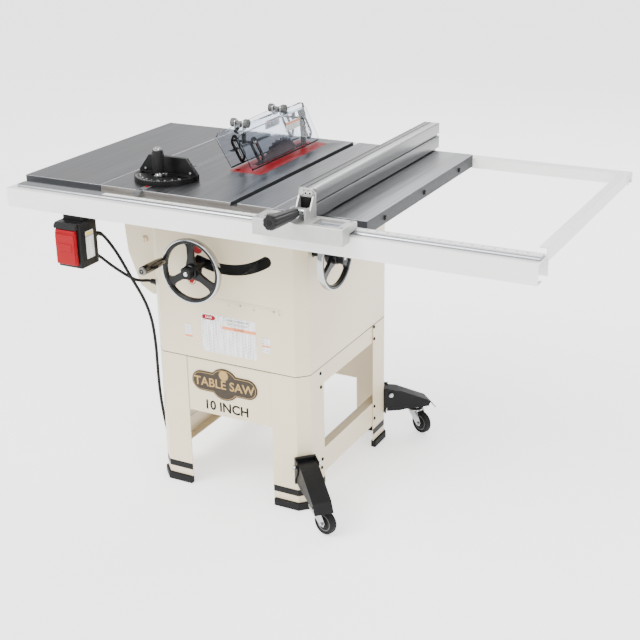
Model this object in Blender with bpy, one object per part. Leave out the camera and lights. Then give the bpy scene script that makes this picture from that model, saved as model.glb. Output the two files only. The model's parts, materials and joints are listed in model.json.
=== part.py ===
"""Open-stand table saw: every piece at its real size, in metres, +Z up.

Saw frame: X = 0 is the middle of the main table, Y = 0 its front edge (the operator
stands at -Y), Z = 0 the floor. The last step moves the whole saw so that the world
origin is the middle of its footprint.
"""

import math

import bmesh
import bpy
from mathutils import Matrix, Vector

# ---- clearances and finish ------------------------------------------------
GAP = 0.0003             # between pieces that touch
RUN = 0.0006             # between pieces that slide or turn
SEGMENTS = 28            # facets round a turned piece

# ---- table ----------------------------------------------------------------
TABLE_TOP = 0.8985       # height of the working surface
TABLE_WIDTH = 0.5144
TABLE_DEPTH = 0.6858
TABLE_EDGE = 0.038       # height of the table's skirt
TABLE_WEB = 0.008        # thickness of the top plate
TABLE_SKIRT = 0.010
WING_WIDTH = 0.2460
WING_EDGE = 0.035
SLOT_WIDTH = 0.0192      # miter slot
SLOT_DEPTH = 0.0095
SLOT_RIB = 0.0165        # depth of the rib that carries a slot
SLOT_LEFT = -0.135
SLOT_RIGHT = 0.1445
INSERT_THICK = 0.0035
INSERT_LEDGE = 0.004

# ---- blade and its carriers ------------------------------------------------
BLADE_X = 0.012
BLADE_RADIUS = 0.127
BLADE_THICK = 0.003
BLADE_RISE = 0.050       # how far the blade stands above the table at rest
ARBOR_Y = 0.465
ARBOR_RADIUS = 0.0079
ARBOR_Z = TABLE_TOP + BLADE_RISE - BLADE_RADIUS
INSERT_X = (BLADE_X - 0.038, BLADE_X + 0.0625)
INSERT_Y = (ARBOR_Y - 0.210, ARBOR_Y + 0.175)
TILT_X = 0.035           # the tilt axis runs along Y through here, in the table's surface
TRUNNION_RADIUS = 0.078
TRUNNION_SEAT = 0.066    # half the width of the flat bolted to the table
CRADLE_RADIUS = 0.105
TRUNNION_FRONT = 0.190
TRUNNION_REAR = 0.626
TRUNNION_THICK = 0.012
MOTOR_Y = 0.330
MOTOR_Z = TABLE_TOP - 0.180
MOTOR_RADIUS = 0.065
MOTOR_X = (-0.260, -0.115)
BELT_X = (-0.104, -0.086)
PULLEY_RADIUS = 0.028

# ---- cabinet and stand -----------------------------------------------------
CABINET_X = (-0.210, 0.268)
CABINET_Y = (0.118, 0.645)
CABINET_CHAMFER = 0.029
CABINET_WALL = 0.002
DUST_PORT = (0.030, 0.470)
PORT_RADIUS = 0.0508
PORT_WALL = 0.0025
SEAM_Z = 0.4014          # where the cabinet sits on the stand
LEG_WIDTH = 0.0766       # of each flange past the chamfer
LEG_WALL = 0.003
FOOT_HEIGHT = 0.022
FOOT_PROUD = 0.006
SKIRT_FRONT_Z = 0.236    # lower edges of the stand's skirt
SKIRT_REAR_Z = 0.171
SKIRT_SIDE_Z = 0.345
BRACE_Z = (0.073, 0.147)
BRACE_LIP = 0.028

# ---- hand wheels -----------------------------------------------------------
WHEEL_RADIUS = 0.089
WHEEL_RIM = 0.015
WHEEL_HUB = 0.021
SHAFT_RADIUS = 0.008
HANDLE_LENGTH = 0.100
HEIGHT_REACH = 0.226     # from the tilt axis to the height wheel's shaft
HEIGHT_ANGLE = -15.4     # degrees from straight down, towards +X
HEIGHT_WHEEL_Y = CABINET_Y[0] - 0.068
SLOT_ARC = (-20.5, 34.0)
ARC_WIDTH = 0.030
TILT_WHEEL = (CABINET_X[1] + 0.062, CABINET_Y[0] + 0.060, TABLE_TOP - 0.1655)

# ---- rails and fence ---------------------------------------------------------
RAIL_X = (-0.510, 0.938)
RAIL_Z = (TABLE_TOP - 0.0685, TABLE_TOP - 0.0185)
RAIL_REACH = 0.072       # how far the front rail stands in front of the table
RAIL_WALL = 0.0025
SCALE_Y = (-0.054, -0.019)
SCALE_TOP = TABLE_TOP - 0.0105
REAR_RAIL_X = (-0.460, 0.938)
REAR_RAIL_Z = (TABLE_TOP - 0.0385, TABLE_TOP - 0.0110)
REAR_RAIL_DEPTH = 0.037
FENCE_X = 0.368
FENCE_WIDTH = 0.046
FENCE_Y = (-0.034, TABLE_DEPTH + 0.0262)
FENCE_Z = (TABLE_TOP + 0.0030, TABLE_TOP + 0.0728)
HEAD_X = (FENCE_X - 0.108, FENCE_X + 0.127)
HEAD_FRONT = -0.110
LEVER = (-0.075, TABLE_TOP + 0.0270)
LEVER_LENGTH = 0.142

# ---- guard -----------------------------------------------------------------
SHIELD_OFFSET = 0.031    # from the blade to the inside of a shield
SHIELD_WALL = 0.003
SHIELD_TRAVEL = 0.0654
SHIELD_RISE = (-0.585, 0.811)   # the direction in which a shield lifts, in Y and Z
GUARD_PIN_FRONT = (ARBOR_Y - 0.190, TABLE_TOP + 0.0795)
GUARD_PIN_REAR = (ARBOR_Y + 0.083, TABLE_TOP + 0.0895)
KNUCKLE_Y = (ARBOR_Y - 0.203, ARBOR_Y - 0.003)
KNUCKLE_Z = TABLE_TOP + 0.1315

# ---- miter gauge -------------------------------------------------------------
MITER_FRONT = -0.013
MITER_LENGTH = 0.453
MITER_Y = 0.125          # pivot of the head
MITER_RADIUS = 0.085
MITER_PLATE = 0.090      # half the width of the head's face
MITER_KNOB_Y = 0.090

# ---- switch, motor cover, casters --------------------------------------------
SWITCH_X = (-0.350, -0.272)
SWITCH_Y = (-0.082, -0.010)
SWITCH_Z = (RAIL_Z[0] - 0.140, RAIL_Z[0] - 0.018)
COVER_Y = (MOTOR_Y - 0.130, MOTOR_Y + 0.170)
COVER_WALL = 0.002
WINDOW_Y = (MOTOR_Y - 0.095, MOTOR_Y + 0.100)
WINDOW_Z = (TABLE_TOP - 0.3585, TABLE_TOP - 0.0785)
GLAND = (0.160, TABLE_TOP - 0.3135)
CASTER_OUT = 0.112       # swivel axis, from the face of the chamfer
CASTER_TRAIL = 0.029
CASTER_RADIUS = 0.0335
CASTER_WIDTH = 0.022
CASTER_LIFT = 0.0015     # wheels hang this far above the floor
PEDAL_PIVOT = (0.018, 0.145)

# ---- cords ---------------------------------------------------------------------
CORD_RADIUS = 0.00425
COIL_AT = (-0.400, 0.800)
COIL_RADIUS = 0.085
POWER_ROUTE = [
    (-0.283, -0.0094, 0.762), (-0.283, 0.0080, 0.762), (-0.277, 0.026, 0.746), (-0.255, 0.043, 0.700),
    (-0.2285, 0.060, 0.632), (-0.2165, 0.096, 0.555), (-0.2075, 0.112, 0.490), (-0.2035, 0.117, 0.420),
    (-0.2045, 0.120, 0.360), (-0.2120, 0.132, 0.290), (-0.2210, 0.150, 0.220), (-0.2270, 0.172, 0.140),
    (-0.2330, 0.200, 0.070), (-0.2440, 0.236, 0.024), (-0.2620, 0.285, 0.0060), (-0.2900, 0.345, 0.0048),
    (-0.3300, 0.430, 0.0048), (-0.3720, 0.520, 0.0048), (-0.3940, 0.590, 0.0048), (-0.4000, 0.650, 0.0048),
    (-0.4000, 0.7100, 0.0048),
]
MOTOR_ROUTE = [
    (-0.300, -0.0094, 0.706), (-0.300, 0.004, 0.706), (-0.291, 0.020, 0.690), (-0.275, 0.045, 0.660),
    (-0.260, 0.075, 0.630), (-0.2540, 0.105, 0.607), (-0.2545, 0.132, 0.593), (-0.2525, 0.150, 0.587),
    (-0.2470, 0.1592, 0.585), (-0.2420, 0.160, 0.585), (-0.2366, 0.160, 0.585),
]


# ---- materials -------------------------------------------------------------------
def finish(name, colour, roughness, metallic=0.0):
    """Return a Principled material."""
    material = bpy.data.materials.new(name)
    material.use_nodes = True
    shader = material.node_tree.nodes["Principled BSDF"]
    shader.inputs["Base Color"].default_value = (*colour, 1.0)
    shader.inputs["Roughness"].default_value = roughness
    shader.inputs["Metallic"].default_value = metallic
    return material


def make_finishes():
    """Return the saw's materials by slot name."""
    return {
        "cream_paint": finish("cream_paint", (0.72, 0.69, 0.60), 0.45),
        "white_paint": finish("white_paint", (0.85, 0.85, 0.83), 0.40),
        "black_paint": finish("black_paint", (0.03, 0.03, 0.03), 0.45),
        "ground_iron": finish("ground_iron", (0.48, 0.49, 0.52), 0.30, 1.0),
        "grey_casting": finish("grey_casting", (0.30, 0.31, 0.32), 0.55, 0.8),
        "aluminium": finish("aluminium", (0.74, 0.75, 0.76), 0.35, 1.0),
        "chrome": finish("chrome", (0.86, 0.87, 0.88), 0.08, 1.0),
        "zinc": finish("zinc", (0.66, 0.68, 0.68), 0.32, 1.0),
        "blade_steel": finish("blade_steel", (0.60, 0.61, 0.63), 0.25, 1.0),
        "dark_steel": finish("dark_steel", (0.10, 0.10, 0.11), 0.35, 0.9),
        "black_plastic": finish("black_plastic", (0.02, 0.02, 0.022), 0.40),
        "red_plastic": finish("red_plastic", (0.62, 0.02, 0.03), 0.35),
        "clear_plastic": finish("clear_plastic", (0.85, 0.87, 0.92), 0.10),
        "black_rubber": finish("black_rubber", (0.02, 0.02, 0.02), 0.70),
    }


def below(drop):
    """Return a height below the working surface."""
    return TABLE_TOP - drop


def above(rise):
    """Return a height above the working surface."""
    return TABLE_TOP + rise


# ---- outlines ----------------------------------------------------------------------
def rectangle(low, high):
    """Return the corners of a rectangle in a plane."""
    return [(low[0], low[1]), (high[0], low[1]), (high[0], high[1]), (low[0], high[1])]


def arc(centre, radius, start, end, count):
    """Return count + 1 points on an arc; angles in degrees from the first axis."""
    angles = [math.radians(start + (end - start) * k / count) for k in range(count + 1)]
    return [(centre[0] + radius * math.cos(a), centre[1] + radius * math.sin(a)) for a in angles]


def rounded_rectangle(low, high, radius, count=4):
    """Return a rectangle's outline with round corners."""
    x0, y0, x1, y1 = low[0] + radius, low[1] + radius, high[0] - radius, high[1] - radius
    corners = [((x1, y0), -90), ((x1, y1), 0), ((x0, y1), 90), ((x0, y0), 180)]
    return [p for centre, start in corners for p in arc(centre, radius, start, start + 90, count)]


def offset_path(points, distance):
    """Return an open path moved sideways to its left, with mitred corners."""
    pts = [Vector(p) for p in points]
    moved = []
    for k, point in enumerate(pts):
        before = (point - pts[k - 1]).normalized() if k > 0 else None
        after = (pts[k + 1] - point).normalized() if k < len(pts) - 1 else None
        left = [Vector((-d.y, d.x)) for d in (before, after) if d is not None]
        normal = sum(left, Vector((0.0, 0.0))).normalized()
        moved.append(tuple(point + normal * (distance / normal.dot(left[0]))))
    return moved


def strip(points, thickness):
    """Return the closed outline of a bent sheet: a path and its parallel, thickness to its left."""
    return list(points) + offset_path(points, thickness)[::-1]


def octagon(inset):
    """Return the cabinet's plan, moved inwards by inset."""
    x0, x1 = CABINET_X[0] + inset, CABINET_X[1] - inset
    y0, y1 = CABINET_Y[0] + inset, CABINET_Y[1] - inset
    c = CABINET_CHAMFER - inset * (2 - math.sqrt(2))
    return [(x0 + c, y0), (x1 - c, y0), (x1, y0 + c), (x1, y1 - c),
            (x1 - c, y1), (x0 + c, y1), (x0, y1 - c), (x0, y0 + c)]


# ---- solids ------------------------------------------------------------------------
def slab(outline, low, high, axis="z"):
    """Extrude an outline along an axis; the outline is in the other two axes, in order."""
    place = {"z": lambda u, v: (u, v, low), "y": lambda u, v: (u, low, v), "x": lambda u, v: (low, u, v)}
    direction = {"z": (0, 0, 1), "y": (0, 1, 0), "x": (1, 0, 0)}[axis]
    mesh = bmesh.new()
    face = mesh.faces.new([mesh.verts.new(place[axis](u, v)) for u, v in outline])
    grown = bmesh.ops.extrude_face_region(mesh, geom=[face])["geom"]
    moved = [item for item in grown if isinstance(item, bmesh.types.BMVert)]
    bmesh.ops.translate(mesh, verts=moved, vec=Vector(direction) * (high - low))
    bmesh.ops.recalc_face_normals(mesh, faces=mesh.faces)
    return mesh


def block(low, high, bevel=0.0, steps=1):
    """Return a box between two corners, with every edge bevelled when bevel is given."""
    mesh = slab(rectangle(low[:2], high[:2]), low[2], high[2])
    if bevel:
        bmesh.ops.bevel(mesh, geom=mesh.edges[:], offset=bevel, segments=steps, affect="EDGES", profile=0.5)
    return mesh


def turned(profile, segments=SEGMENTS, axis="z"):
    """Turn a profile of (radius, height) points; it closes on itself unless it ends on the axis."""
    mesh = bmesh.new()
    verts = [mesh.verts.new((r, 0.0, h)) for r, h in profile]
    edges = [mesh.edges.new(pair) for pair in zip(verts, verts[1:])]
    if profile[0][0] > 0:
        edges.append(mesh.edges.new((verts[-1], verts[0])))
    bmesh.ops.spin(mesh, geom=verts + edges, cent=(0, 0, 0), axis=(0, 0, 1), angle=math.tau,
                   steps=segments, use_merge=True)
    bmesh.ops.remove_doubles(mesh, verts=mesh.verts, dist=1e-6)
    if axis == "x":
        for vert in mesh.verts:
            vert.co = (vert.co.z, vert.co.x, vert.co.y)
    if axis == "y":
        for vert in mesh.verts:
            vert.co = (vert.co.y, vert.co.z, vert.co.x)
    bmesh.ops.recalc_face_normals(mesh, faces=mesh.faces)
    return mesh


def rod(radius, low, high, axis="z", at=(0, 0, 0), segments=SEGMENTS):
    """Return a plain round bar along an axis, moved to at."""
    return moved_to(turned([(0, low), (radius, low), (radius, high), (0, high)], segments, axis), at)


def ring(inner, outer, low, high, axis="z", at=(0, 0, 0), segments=SEGMENTS):
    """Return a plain tube along an axis, moved to at."""
    profile = [(inner, low), (outer, low), (outer, high), (inner, high)]
    return moved_to(turned(profile, segments, axis), at)


def moved_to(mesh, at):
    """Shift a bmesh and return it."""
    bmesh.ops.translate(mesh, verts=mesh.verts, vec=Vector(at))
    return mesh


def bar_between(start, end, width, depth, across):
    """Return a rectangular bar from start to end; across is the direction of its width."""
    a, b = Vector(start), Vector(end)
    side = Vector(across).normalized() * width / 2
    other = (b - a).cross(side).normalized() * depth / 2
    mesh = bmesh.new()
    corners = [side + other, other - side, -side - other, side - other]
    verts = [[mesh.verts.new(p + c) for c in corners] for p in (a, b)]
    mesh.faces.new(verts[0])
    mesh.faces.new(verts[1])
    for k in range(4):
        n = (k + 1) % 4
        mesh.faces.new((verts[0][k], verts[0][n], verts[1][n], verts[1][k]))
    bmesh.ops.recalc_face_normals(mesh, faces=mesh.faces)
    return mesh


# ---- objects ---------------------------------------------------------------------
def empty(name, parent=None, at=(0, 0, 0), turn=(0, 0, 0)):
    """Return an empty that other objects hang from."""
    holder = bpy.data.objects.new(name, None)
    bpy.context.scene.collection.objects.link(holder)
    holder.parent = parent
    holder.location = at
    holder.rotation_euler = turn
    return holder


def mesh_object(name, mesh, parent):
    """Turn a bmesh into a linked object."""
    data = bpy.data.meshes.new(name)
    mesh.to_mesh(data)
    mesh.free()
    item = bpy.data.objects.new(name, data)
    bpy.context.scene.collection.objects.link(item)
    item.parent = parent
    return item


def combine(item, operation, tools):
    """Add or take away bmeshes, one Boolean step each, in order."""
    for tool in tools:
        cutter = mesh_object(f"{item.name}.{operation.lower()}{len(item.modifiers)}", tool, item)
        cutter.hide_render = True
        cutter.display_type = "WIRE"
        step = item.modifiers.new(cutter.name, "BOOLEAN")
        step.operation = operation
        step.solver = "EXACT"
        step.object = cutter


def piece(name, mesh, material, parent, at=(0, 0, 0), turn=(0, 0, 0), join=(), cut=(), smooth=True):
    """Make one sub-part; join and cut are bmeshes in the piece's own space."""
    item = mesh_object(name, mesh, parent)
    item.location = at
    item.rotation_euler = turn
    item.data.materials.append(material)
    combine(item, "UNION", join)
    combine(item, "DIFFERENCE", cut)
    if smooth:
        item.data.shade_smooth()
        item.data.set_sharp_from_angle(angle=math.radians(35))
    return item


# ---- table and wings ----------------------------------------------------------------
def ribbed_plate(low_x, high_x, edge, bays_x, bays_y):
    """Return a bevelled casting and the pockets under its top plate."""
    body = block((low_x, 0, TABLE_TOP - edge), (high_x, TABLE_DEPTH, TABLE_TOP), 0.0012)
    web = TABLE_TOP - TABLE_WEB
    pockets = [block((x0, y0, TABLE_TOP - edge - 0.02), (x1, y1, web))
               for x0, x1 in bays_x for y0, y1 in bays_y]
    return body, pockets


def make_table(mats, root):
    """Make the main table, both wings and the throat insert."""
    half = TABLE_WIDTH / 2
    rib = 0.018
    inside = half - TABLE_SKIRT
    bays = [(-inside, SLOT_LEFT - rib), (SLOT_LEFT + rib, SLOT_RIGHT - rib), (SLOT_RIGHT + rib, inside)]
    depth = (TABLE_SKIRT, TABLE_DEPTH - TABLE_SKIRT)
    body, cuts = ribbed_plate(-half, half, TABLE_EDGE, bays, [depth])
    for slot in (SLOT_LEFT, SLOT_RIGHT):
        cuts.append(block((slot - rib - 0.001, depth[0], TABLE_TOP - TABLE_EDGE - 0.02),
                          (slot + rib + 0.001, depth[1], TABLE_TOP - SLOT_RIB)))
        cuts.append(block((slot - SLOT_WIDTH / 2, -0.01, TABLE_TOP - SLOT_DEPTH),
                          (slot + SLOT_WIDTH / 2, TABLE_DEPTH + 0.01, TABLE_TOP + 0.02)))
    low, high = zip(INSERT_X, INSERT_Y)
    seat = rounded_rectangle([v - GAP for v in low], [v + GAP for v in high], 0.012)
    ledge = rounded_rectangle([v + INSERT_LEDGE for v in low], [v - INSERT_LEDGE for v in high], 0.008)
    cuts.append(slab(seat, TABLE_TOP - INSERT_THICK - GAP, TABLE_TOP + 0.02))
    cuts.append(slab(ledge, TABLE_TOP - 0.03, TABLE_TOP + 0.03))
    piece("table", body, mats["ground_iron"], root, cut=cuts, smooth=False)
    mouth = block((BLADE_X - 0.016, ARBOR_Y - 0.129, TABLE_TOP - 0.02),
                  (BLADE_X + 0.0055, ARBOR_Y + 0.157, TABLE_TOP + 0.02))
    finger = rod(0.008, TABLE_TOP - 0.02, TABLE_TOP + 0.02, at=(INSERT_X[0] + 0.018, INSERT_Y[0] + 0.020, 0))
    plate = slab(rounded_rectangle(low, high, 0.012), TABLE_TOP - INSERT_THICK, TABLE_TOP)
    piece("table_insert", plate, mats["red_plastic"], root, cut=[mouth, finger], smooth=False)
    rows = [(TABLE_SKIRT + 0.002, TABLE_DEPTH / 3 - 0.004),
            (TABLE_DEPTH / 3 + 0.004, TABLE_DEPTH * 2 / 3 - 0.004),
            (TABLE_DEPTH * 2 / 3 + 0.004, TABLE_DEPTH - TABLE_SKIRT - 0.002)]
    for name, low_x in (("wing_left", -half - GAP - WING_WIDTH), ("wing_right", half + GAP)):
        high_x = low_x + WING_WIDTH
        bay = [(low_x + TABLE_SKIRT, high_x - TABLE_SKIRT)]
        body, cuts = ribbed_plate(low_x, high_x, WING_EDGE, bay, rows)
        piece(name, body, mats["ground_iron"], root, cut=cuts, smooth=False)


# ---- cabinet and stand ------------------------------------------------------------
def arc_slot(centre, radius, width, start, end, low, high, axis):
    """Return a cutter for a curved slot; angles in degrees from straight down."""
    outer = arc(centre, radius + width / 2, start - 90, end - 90, 14)
    inner = arc(centre, radius - width / 2, end - 90, start - 90, 14)
    turn_end = arc(along(centre, radius, end), width / 2, end - 90, end + 90, 6)[1:-1]
    turn_start = arc(along(centre, radius, start), width / 2, start + 90, start + 270, 6)[1:-1]
    return slab(outer + turn_end + inner + turn_start, low, high, axis)


def along(centre, radius, degrees):
    """Return the point at an angle from straight down, towards the first axis."""
    a = math.radians(degrees)
    return (centre[0] + radius * math.sin(a), centre[1] - radius * math.cos(a))


def make_cabinet(mats, root):
    """Make the cabinet shell with its slot, motor window and dust port."""
    top = TABLE_TOP - TABLE_EDGE - GAP
    shell = slab(octagon(0), SEAM_Z, top)
    front, rear = CABINET_Y
    left = CABINET_X[0]
    port_x, port_z = DUST_PORT
    collar = rod(PORT_RADIUS, rear - CABINET_WALL - 0.001, rear + 0.032, "y", (port_x, 0, port_z))
    cavity = slab(octagon(CABINET_WALL), SEAM_Z - 0.01, top + 0.01)
    openings = [
        arc_slot((TILT_X, TABLE_TOP), HEIGHT_REACH, ARC_WIDTH, *SLOT_ARC, front - 0.01, front + 0.01, "y"),
        block((left - 0.01, WINDOW_Y[0], WINDOW_Z[0]), (left + 0.01, WINDOW_Y[1], WINDOW_Z[1])),
        rod(SHAFT_RADIUS + 0.003, CABINET_X[1] - 0.028, CABINET_X[1] + 0.022, "x",
            (0, TILT_WHEEL[1], TILT_WHEEL[2])),
        rod(PORT_RADIUS - PORT_WALL, rear - 0.02, rear + 0.06, "y", (port_x, 0, port_z)),
    ]
    # the collar is joined after the shell is hollow, so the cavity is cut first
    item = piece("cabinet", shell, mats["cream_paint"], root, cut=[cavity], smooth=False)
    combine(item, "UNION", [collar])
    combine(item, "DIFFERENCE", openings)


def corner_paths(inset):
    """Return each leg's bent path in plan, front-left first, running anticlockwise outside."""
    pts = octagon(inset)
    reach = LEG_WIDTH
    fl = [(pts[7][0], pts[7][1] + reach), pts[7], pts[0], (pts[0][0] + reach, pts[0][1])]
    fr = [(pts[1][0] - reach, pts[1][1]), pts[1], pts[2], (pts[2][0], pts[2][1] + reach)]
    rr = [(pts[3][0], pts[3][1] - reach), pts[3], pts[4], (pts[4][0] - reach, pts[4][1])]
    rl = [(pts[5][0] + reach, pts[5][1]), pts[5], pts[6], (pts[6][0], pts[6][1] - reach)]
    return {"front_left": fl, "front_right": fr, "rear_right": rr, "rear_left": rl}


def make_stand(mats, root):
    """Make the legs, feet, skirt and side braces."""
    for name, path in corner_paths(0).items():
        outline = strip(path, LEG_WALL)
        piece(f"leg_{name}", slab(outline, FOOT_HEIGHT + GAP, SEAM_Z - GAP), mats["cream_paint"], root,
              smooth=False)
    for name, path in corner_paths(-FOOT_PROUD).items():
        outline = strip(path, FOOT_PROUD + LEG_WALL + 0.006)
        piece(f"foot_{name}", slab(outline, 0, FOOT_HEIGHT), mats["black_rubber"], root, smooth=False)
    inset = LEG_WALL + GAP
    skirt = slab(octagon(inset), SKIRT_REAR_Z, SEAM_Z - GAP)
    x0, x1 = CABINET_X
    y0, y1 = CABINET_Y
    edge = CABINET_CHAMFER + 0.004
    cuts = [
        slab(octagon(inset + LEG_WALL), 0.1, 0.5),
        block((x0 - 0.01, y0 - 0.01, 0.1), (x1 + 0.01, y0 + edge, SKIRT_FRONT_Z)),
        block((x0 - 0.01, y0 + edge - 0.001, 0.1), (x1 + 0.01, y1 - edge, SKIRT_SIDE_Z)),
    ]
    piece("stand_skirt", skirt, mats["cream_paint"], root, cut=cuts, smooth=False)
    low, high = BRACE_Z
    for name, face, inward in (("brace_left", x0 + inset, 1), ("brace_right", x1 - inset, -1)):
        lip = face + inward * BRACE_LIP
        path = [(lip, low), (face, low), (face, high), (lip, high)]
        path = path if inward < 0 else path[::-1]
        outline = strip(path, LEG_WALL)
        piece(name, slab(outline, y0 + edge, y1 - edge, "y"), mats["cream_paint"], root, smooth=False)


# ---- rails ---------------------------------------------------------------------------
def make_rails(mats, root):
    """Make the front rail, its scale bar, the rear rail and the end bracket."""
    low, high = RAIL_Z
    front = -GAP - RAIL_REACH
    path = [(-GAP, low), (-GAP, high), (front, high), (front, low), (front + 0.030, low)]
    piece("front_rail", slab(strip(path, RAIL_WALL), *RAIL_X, "x"), mats["white_paint"], root, smooth=False)
    y0, y1 = SCALE_Y
    base = high + GAP
    outline = [(y0, base), (y1, base), (y1, SCALE_TOP - 0.002), (y1 - 0.002, SCALE_TOP),
               (y0 + 0.006, SCALE_TOP), (y0 + 0.002, SCALE_TOP - 0.0015), (y0, SCALE_TOP - 0.0045)]
    piece("scale_rail", slab(outline, RAIL_X[0] + 0.022, RAIL_X[1] - 0.004, "x"), mats["aluminium"], root,
          smooth=False)
    low, high = REAR_RAIL_Z
    back = TABLE_DEPTH + GAP
    path = [(back + REAR_RAIL_DEPTH - 0.012, low), (back + REAR_RAIL_DEPTH, low),
            (back + REAR_RAIL_DEPTH, high), (back, high), (back, low)]
    piece("rear_rail", slab(strip(path, RAIL_WALL), *REAR_RAIL_X, "x"), mats["white_paint"], root,
          smooth=False)
    side = RAIL_X[1] - 0.003
    top = RAIL_Z[1] + 0.0145
    wall = 0.0025
    path = [(side, RAIL_Z[1] - 0.019), (side, top), (side - 0.020, top)]
    beam = slab(strip(path, wall), GAP, TABLE_DEPTH - GAP, "y")
    tabs = [block((side - 0.036, GAP, RAIL_Z[1] - 0.019), (side - 0.0005, GAP + wall, RAIL_Z[1] - 0.001)),
            block((side - 0.048, TABLE_DEPTH - GAP - wall, REAR_RAIL_Z[0] + 0.003),
                  (side - 0.0005, TABLE_DEPTH - GAP, REAR_RAIL_Z[1] - 0.0005))]
    piece("end_bracket", beam, mats["white_paint"], root, join=tabs, smooth=False)


# ---- fence ---------------------------------------------------------------------------
def make_fence(mats, root):
    """Make the rip fence: head, beam and clamp lever."""
    fence = empty("fence", root, (FENCE_X, 0, 0))
    front, rear = HEAD_FRONT, FENCE_Y[0] - GAP
    under = SCALE_TOP + RUN
    top = TABLE_TOP + 0.009
    face = -GAP - RAIL_REACH - 0.003
    outline = [(front, below(0.0315)), (face, below(0.0315)), (face, under), (rear, under),
               (rear, top - 0.002), (rear - 0.002, top), (front + 0.002, top), (front, top - 0.002)]
    x0, x1 = HEAD_X[0] - FENCE_X, HEAD_X[1] - FENCE_X
    y, z = LEVER
    ears = [slab([(y - 0.013, top - 0.001), (y + 0.013, top - 0.001), (y + 0.009, z + 0.009),
                  (y - 0.009, z + 0.009)], s - 0.002, s + 0.002, "x") for s in (-0.019, 0.019)]
    half = FENCE_WIDTH / 2
    tongue = block((-half + 0.004, rear - 0.012, TABLE_TOP + 0.0004), (half - 0.004, 0.055, FENCE_Z[0] - GAP))
    pockets = [block((0.040, front + 0.016, top - 0.009), (x1 - 0.020, rear - 0.014, top + 0.01)),
               block((x0 + 0.020, front + 0.022, top - 0.005), (-0.046, rear - 0.020, top + 0.01))]
    piece("fence_head", slab(outline, x0, x1, "x"), mats["aluminium"], fence, join=[*ears, tongue],
          cut=pockets, smooth=False)
    low, high = FENCE_Z
    outline = rounded_rectangle((-half, low), (half, high), 0.002, 2)
    groove = 0.007
    cuts = [block((half - 0.006, -0.1, low + 0.034), (half + 0.01, 0.8, low + 0.034 + groove)),
            block((-half - 0.01, -0.1, low + 0.034), (-half + 0.006, 0.8, low + 0.034 + groove)),
            block((-half + 0.004, -0.1, low + 0.004), (half - 0.004, 0.8, low + 0.029)),
            block((-half + 0.008, -0.1, high - 0.022), (-0.002, 0.8, high - 0.004)),
            block((0.002, -0.1, high - 0.022), (half - 0.008, 0.8, high - 0.004))]
    foot = block((-0.015, FENCE_Y[1] - 0.024, SCALE_TOP + 0.001), (0.015, FENCE_Y[1] - 0.004, low + 0.002))
    piece("fence_beam", slab(outline, *FENCE_Y, "y"), mats["aluminium"], fence, join=[foot], cut=cuts,
          smooth=False)
    hub = rod(0.010, -0.0164, 0.0164, "x", segments=20)
    profile = [(0, 0.004), (0.006, 0.004), (0.006, 0.014), (0.0125, 0.016), (0.0125, 0.022),
               (0.0122, 0.024), (0.0150, 0.060), (0.0172, 0.110), (0.0175, LEVER_LENGTH - 0.003),
               (0.0155, LEVER_LENGTH), (0, LEVER_LENGTH)]
    grip = turned(profile, 24, "y")
    bmesh.ops.rotate(grip, verts=grip.verts, cent=(0, 0, 0), matrix=rotation(math.pi, "Z"))
    piece("fence_lever", hub, mats["black_plastic"], fence, at=(0, y, z), turn=(math.radians(-4.5), 0, 0),
          join=[grip])


def rotation(angle, axis):
    """Return a 3 by 3 turn about a named axis."""
    return Matrix.Rotation(angle, 3, axis)


# ---- miter gauge ---------------------------------------------------------------------
def make_miter(mats, root):
    """Make the miter gauge: bar, head and clamp knob."""
    gauge = empty("miter_gauge", root, (SLOT_LEFT, 0, 0))
    low = TABLE_TOP - SLOT_DEPTH + RUN
    half = SLOT_WIDTH / 2 - 0.00025
    bar = block((-half, MITER_FRONT, low), (half, MITER_FRONT + MITER_LENGTH, TABLE_TOP - 0.0002))
    piece("miter_bar", bar, mats["dark_steel"], gauge, smooth=False)
    base = TABLE_TOP + GAP
    disc = [(MITER_RADIUS, 0.006)] + arc((0, 0), MITER_RADIUS, 0, -180, 24) + [(-MITER_RADIUS, 0.006)]
    half = MITER_PLATE
    face = slab([(-half, 0), (half, 0), (half, 0.014), (half - 0.032, 0.056), (0.032 - half, 0.056),
                 (-half, 0.014)], 0.005, 0.017, "y")
    reach = MITER_Y - MITER_KNOB_Y
    outer = arc((0, 0), reach + 0.0045, -157, -23, 18)
    inner = arc((0, 0), reach - 0.0045, -23, -157, 18)
    slot = slab(outer + inner, -0.01, 0.05)
    relief = slab(rounded_rectangle((-0.074, -0.022), (-0.044, -0.004), 0.004), 0.006, 0.05)
    relief2 = slab(rounded_rectangle((0.044, -0.022), (0.074, -0.004), 0.004), 0.006, 0.05)
    piece("miter_head", slab(disc, 0, 0.0125), mats["black_paint"], gauge, at=(0, MITER_Y, base),
          join=[face], cut=[slot, relief, relief2], smooth=False)
    foot = 0.0125 + GAP
    profile = [(0, GAP), (0.0035, GAP), (0.0035, foot), (0.012, foot), (0.012, foot + 0.003),
               (0.0075, foot + 0.004), (0.0125, foot + 0.008), (0.0155, foot + 0.020),
               (0.0155, foot + 0.062), (0.0140, foot + 0.070), (0.0090, foot + 0.076), (0, foot + 0.078)]
    piece("miter_knob", turned(profile), mats["black_plastic"], gauge, at=(0, MITER_KNOB_Y, base))


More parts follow.
